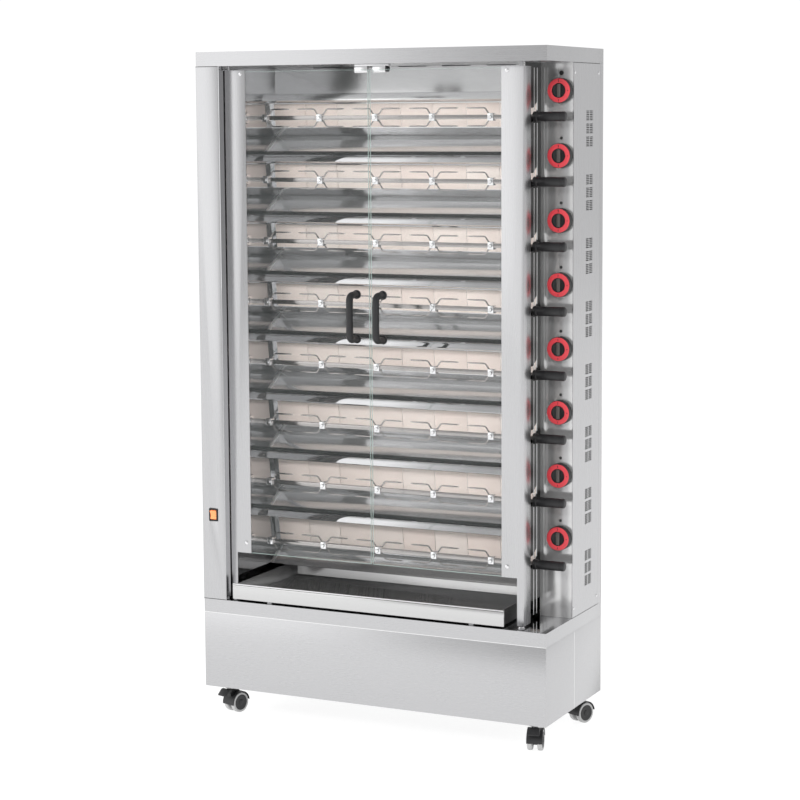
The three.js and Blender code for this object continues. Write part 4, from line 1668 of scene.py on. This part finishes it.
@dataclass
class Casters:
    """Four twin-wheel casters: hoods, treads, hub caps, and pedals on the front pair."""

    wheel: float = 30.0
    inner: float = 7.5
    width: float = 14.0
    axle: float = 4.0
    crown: float = 84.4
    hood_gap: Flat = (1.3, 3.6)
    hood_turn: Flat = (8.0, 178.0)
    hood_steps: int = 18
    turns: dict[str, float] = field(default_factory=lambda: {
        "front_left": -17.0, "front_right": 15.0, "rear_left": 12.0, "rear_right": -24.0})

    def build(self) -> None:
        """Builds each caster in its own turned frame."""
        for name, degrees in self.turns.items():
            swivel = joint_mm(f"{name}_caster_swivel")
            roll = joint_mm(f"{name}_wheel_roll")
            turn = Matrix.Rotation(math.radians(degrees), 4, "Z")
            here = Matrix.Translation((swivel.x, swivel.y, 0.0)) @ turn
            axle = Matrix.Translation(roll) @ turn
            wheels = f"{name}_wheels"
            Piece(f"{name}_treads", wheels, Shelf.tread, [f"{name}_caster_wheels"]).put(
                self.treads().move(axle))
            Piece(f"{name}_hubs", wheels, Shelf.black).put(self.hubs().move(axle))
            soften(f"{name}_caster_fork", Shelf.black, 1.0)
            Piece(f"{name}_hood", f"{name}_caster", Shelf.black).put(self.hood().move(axle))
            Piece(f"{name}_plate", f"{name}_caster", Shelf.chrome).put(self.plate().move(here))
            if name.startswith("front"):
                soften(f"{name}_brake_pedal", Shelf.black, 1.2)

    def treads(self) -> Form:
        """Two grey tyres with rounded shoulders.

        Returns:
            The form, on the axle.
        """
        form = Form()
        for side in (-1, 1):
            r, w = self.wheel, self.width
            a = self.inner if side > 0 else -self.inner - w
            form.turned([(0, a + 0.4), (r - 5, a + 0.4), (r - 2.2, a), (r - 0.6, a + 1.4),
                         (r, a + 4), (r, a + w - 4), (r - 0.6, a + w - 1.4), (r - 2.2, a + w),
                         (r - 5, a + w - 0.4), (0, a + w - 0.4)], Axis.X, (0, 0, 0), 40)
        return form

    def hood(self) -> Form:
        """The curved guard over both wheels.

        Returns:
            The form, round the axle.
        """
        inner, outer = (self.wheel + gap for gap in self.hood_gap)
        start, sweep = self.hood_turn
        turns = [math.radians(start + sweep * i / self.hood_steps)
                 for i in range(self.hood_steps + 1)]
        outline = [(outer * math.cos(a), outer * math.sin(a)) for a in turns]
        outline += [(inner * math.cos(a), inner * math.sin(a)) for a in reversed(turns)]
        side = self.inner + self.width + 1.0
        return Form().prism(outline, Axis.X, -side, side).bevel(0.5, 1, 40.0)

    def hubs(self) -> Form:
        """The black hub caps with their raised centres, and the axle between the wheels.

        Returns:
            The form, on the axle.
        """
        form = Form()
        for side in (-1, 1):
            face = self.inner + self.width
            rim = self.wheel - 7.0
            profile = [(0, face - 2), (rim, face - 2), (rim, face - 0.2), (rim - 1.3, face + 0.6),
                       (9.0, face - 0.4), (8.0, face + 1.0), (5.0, face + 1.6), (0, face + 1.6)]
            form.turned([(r, side * w) for r, w in profile], Axis.X, (0, 0, 0), 32)
        half = self.inner + 1
        form.turned([(0, -half), (self.axle, -half), (self.axle, half), (0, half)], Axis.X,
                    (0, 0, 0), 16)
        return form

    def plate(self) -> Form:
        """The bright bearing ring on top.

        Returns:
            The form, on the swivel axis.
        """
        top = self.crown
        return Form().turned([(0, top - 8), (17.0, top - 8), (17.0, top - 6), (20.5, top - 5.4),
                              (23.5, top - 3.4), (24.5, top - 1.2), (24.0, top), (0, top)],
                             Axis.Z, (0, 0, 0), 36)


@dataclass
class Studio:
    """The floor, the soft lights, the white surroundings and the camera.

    The walls are (part of the way round, grey) pairs of what the steel reflects.
    """

    eye: Point = (2.6766, -5.5490, 1.7576)
    yaw: float = 25.699
    pitch: float = -6.475
    roll: float = -0.339
    lens: float = 96.93
    film: float = 36.0
    lift: float = -0.05
    target: Point = (0.0, 0.0, 1.0)
    floor_half: float = 14000.0
    floor_depth: Flat = (-20.0, -0.3)
    strength: float = 1.0
    white: float = 1.05
    ceiling: float = 0.35
    walls: tuple[Flat, ...] = (
        (0.0, 0.78),
        (0.25, 0.80),
        (0.40, 0.60),
        (0.535, 0.62),
        (0.562, 0.95),
        (0.58, 1.50),
        (0.62, 1.55),
        (0.75, 1.25),
        (1.0, 0.78),
    )

    def build(self) -> None:
        """Sets up everything round the oven."""
        self.camera()
        self.floor()
        self.surroundings()
        for name, spot, size, power in (
            ("left_box", (-4.6, -2.6, 2.4), (2.2, 3.0), 110.0),
            ("front_box", (0.6, -5.6, 3.6), (2.6, 1.2), 180.0),
            ("right_box", (4.4, -0.4, 2.4), (2.0, 2.6), 40.0),
            ("top_box", (0.0, -0.2, 4.6), (2.0, 1.2), 40.0),
        ):
            self.light(name, Vector(spot), Vector(self.target), size, power)
        bpy.context.scene.view_settings.view_transform = "Standard"

    def camera(self) -> None:
        """The camera, from its place and its three angles."""
        yaw, pitch, roll = (math.radians(a) for a in (self.yaw, self.pitch, self.roll))
        ahead = Vector((-math.sin(yaw) * math.cos(pitch), math.cos(yaw) * math.cos(pitch),
                        math.sin(pitch)))
        right = Vector((math.cos(yaw), math.sin(yaw), 0.0))
        up = right.cross(ahead)
        side = right * math.cos(roll) + up * math.sin(roll)
        top = up * math.cos(roll) - right * math.sin(roll)
        data = bpy.data.cameras.new("camera")
        data.lens, data.sensor_width, data.shift_y = self.lens, self.film, self.lift
        data.clip_start, data.clip_end = 0.1, 100.0
        camera = bpy.data.objects.new("camera", data)
        camera.matrix_world = Matrix.Translation(self.eye) @ Matrix(
            (side, top, -ahead)).transposed().to_4x4()
        bpy.context.scene.collection.objects.link(camera)
        bpy.context.scene.camera = camera

    def floor(self) -> None:
        """A wide plain floor."""
        half = self.floor_half
        form = Form().prism([(-half, -half), (half, -half), (half, half), (-half, half)],
                            Axis.Z, *self.floor_depth)
        made = Surface("pale_floor", Roughness=0.7, Emission_Strength=0.88)
        made.feed("Emission Color", (1.0, 1.0, 1.0))
        tone = made.noise(made.place(), 0.8, detail=2.0)
        made.feed("Base Color", made.blend((0.20, 0.20, 0.20), (0.22, 0.22, 0.22), tone))
        mesh = form.mesh("floor")
        mesh.materials.append(made.material)
        floor = bpy.data.objects.new("floor", mesh)
        bpy.context.scene.collection.objects.link(floor)

    def surroundings(self) -> None:
        """White to look at; as light, brighter from the front left and darker to the right."""
        world = bpy.data.worlds.new("white_room")
        world.use_nodes = True
        room = Nodes(world.node_tree)
        x, y, z = room.axes(room.node("TexCoord", output="Generated"))
        turn = room.node("Math", {"operation": "ARCTAN2"}, {"Value": 0.0 - x, "Value_001": 0.0 - y})
        around = turn / (2 * math.pi) + 0.5
        wall = room.ramp(around, *self.walls)
        high = room.ramp(0.5 * z + 0.5, (0.0, 0.0), (0.70, 0.0), (0.84, 1.0), (1.0, 1.0))
        tone = room.blend(wall, (self.ceiling,) * 3, high)
        seen = room.node("LightPath", output="Is Camera Ray")
        shown = room.blend(tone, (self.white,) * 3, seen)
        back = room.node("Background", sockets={"Color": shown, "Strength": self.strength})
        room.node("OutputWorld", sockets={"Surface": back})
        bpy.context.scene.world = world

    def light(self, name: str, spot: Vector, target: Vector, size: Flat, power: float) -> None:
        """One soft rectangular light.

        Args:
            name: its name.
            spot: where it stands, in metres.
            target: where it points.
            size: its width and height, in metres.
            power: its power, in watts.
        """
        data = bpy.data.lights.new(name, "AREA")
        data.shape, data.size, data.size_y, data.energy = "RECTANGLE", size[0], size[1], power
        light = bpy.data.objects.new(name, data)
        light.location = spot
        light.visible_glossy = False
        light.rotation_euler = (target - spot).to_track_quat("-Z", "Y").to_euler()
        bpy.context.scene.collection.objects.link(light)


def main() -> None:
    """Builds every sub-assembly in order."""
    logging.basicConfig(level=logging.INFO, format="%(name)s: %(message)s")
    for part in (Studio(), Casing(), Burners(), Spits(), Knobs(), Doors(), Tray(), Switch(),
                 Casters()):
        part.build()
        LOG.info("%s done", type(part).__name__)


if __name__ == "__main__":
    main()
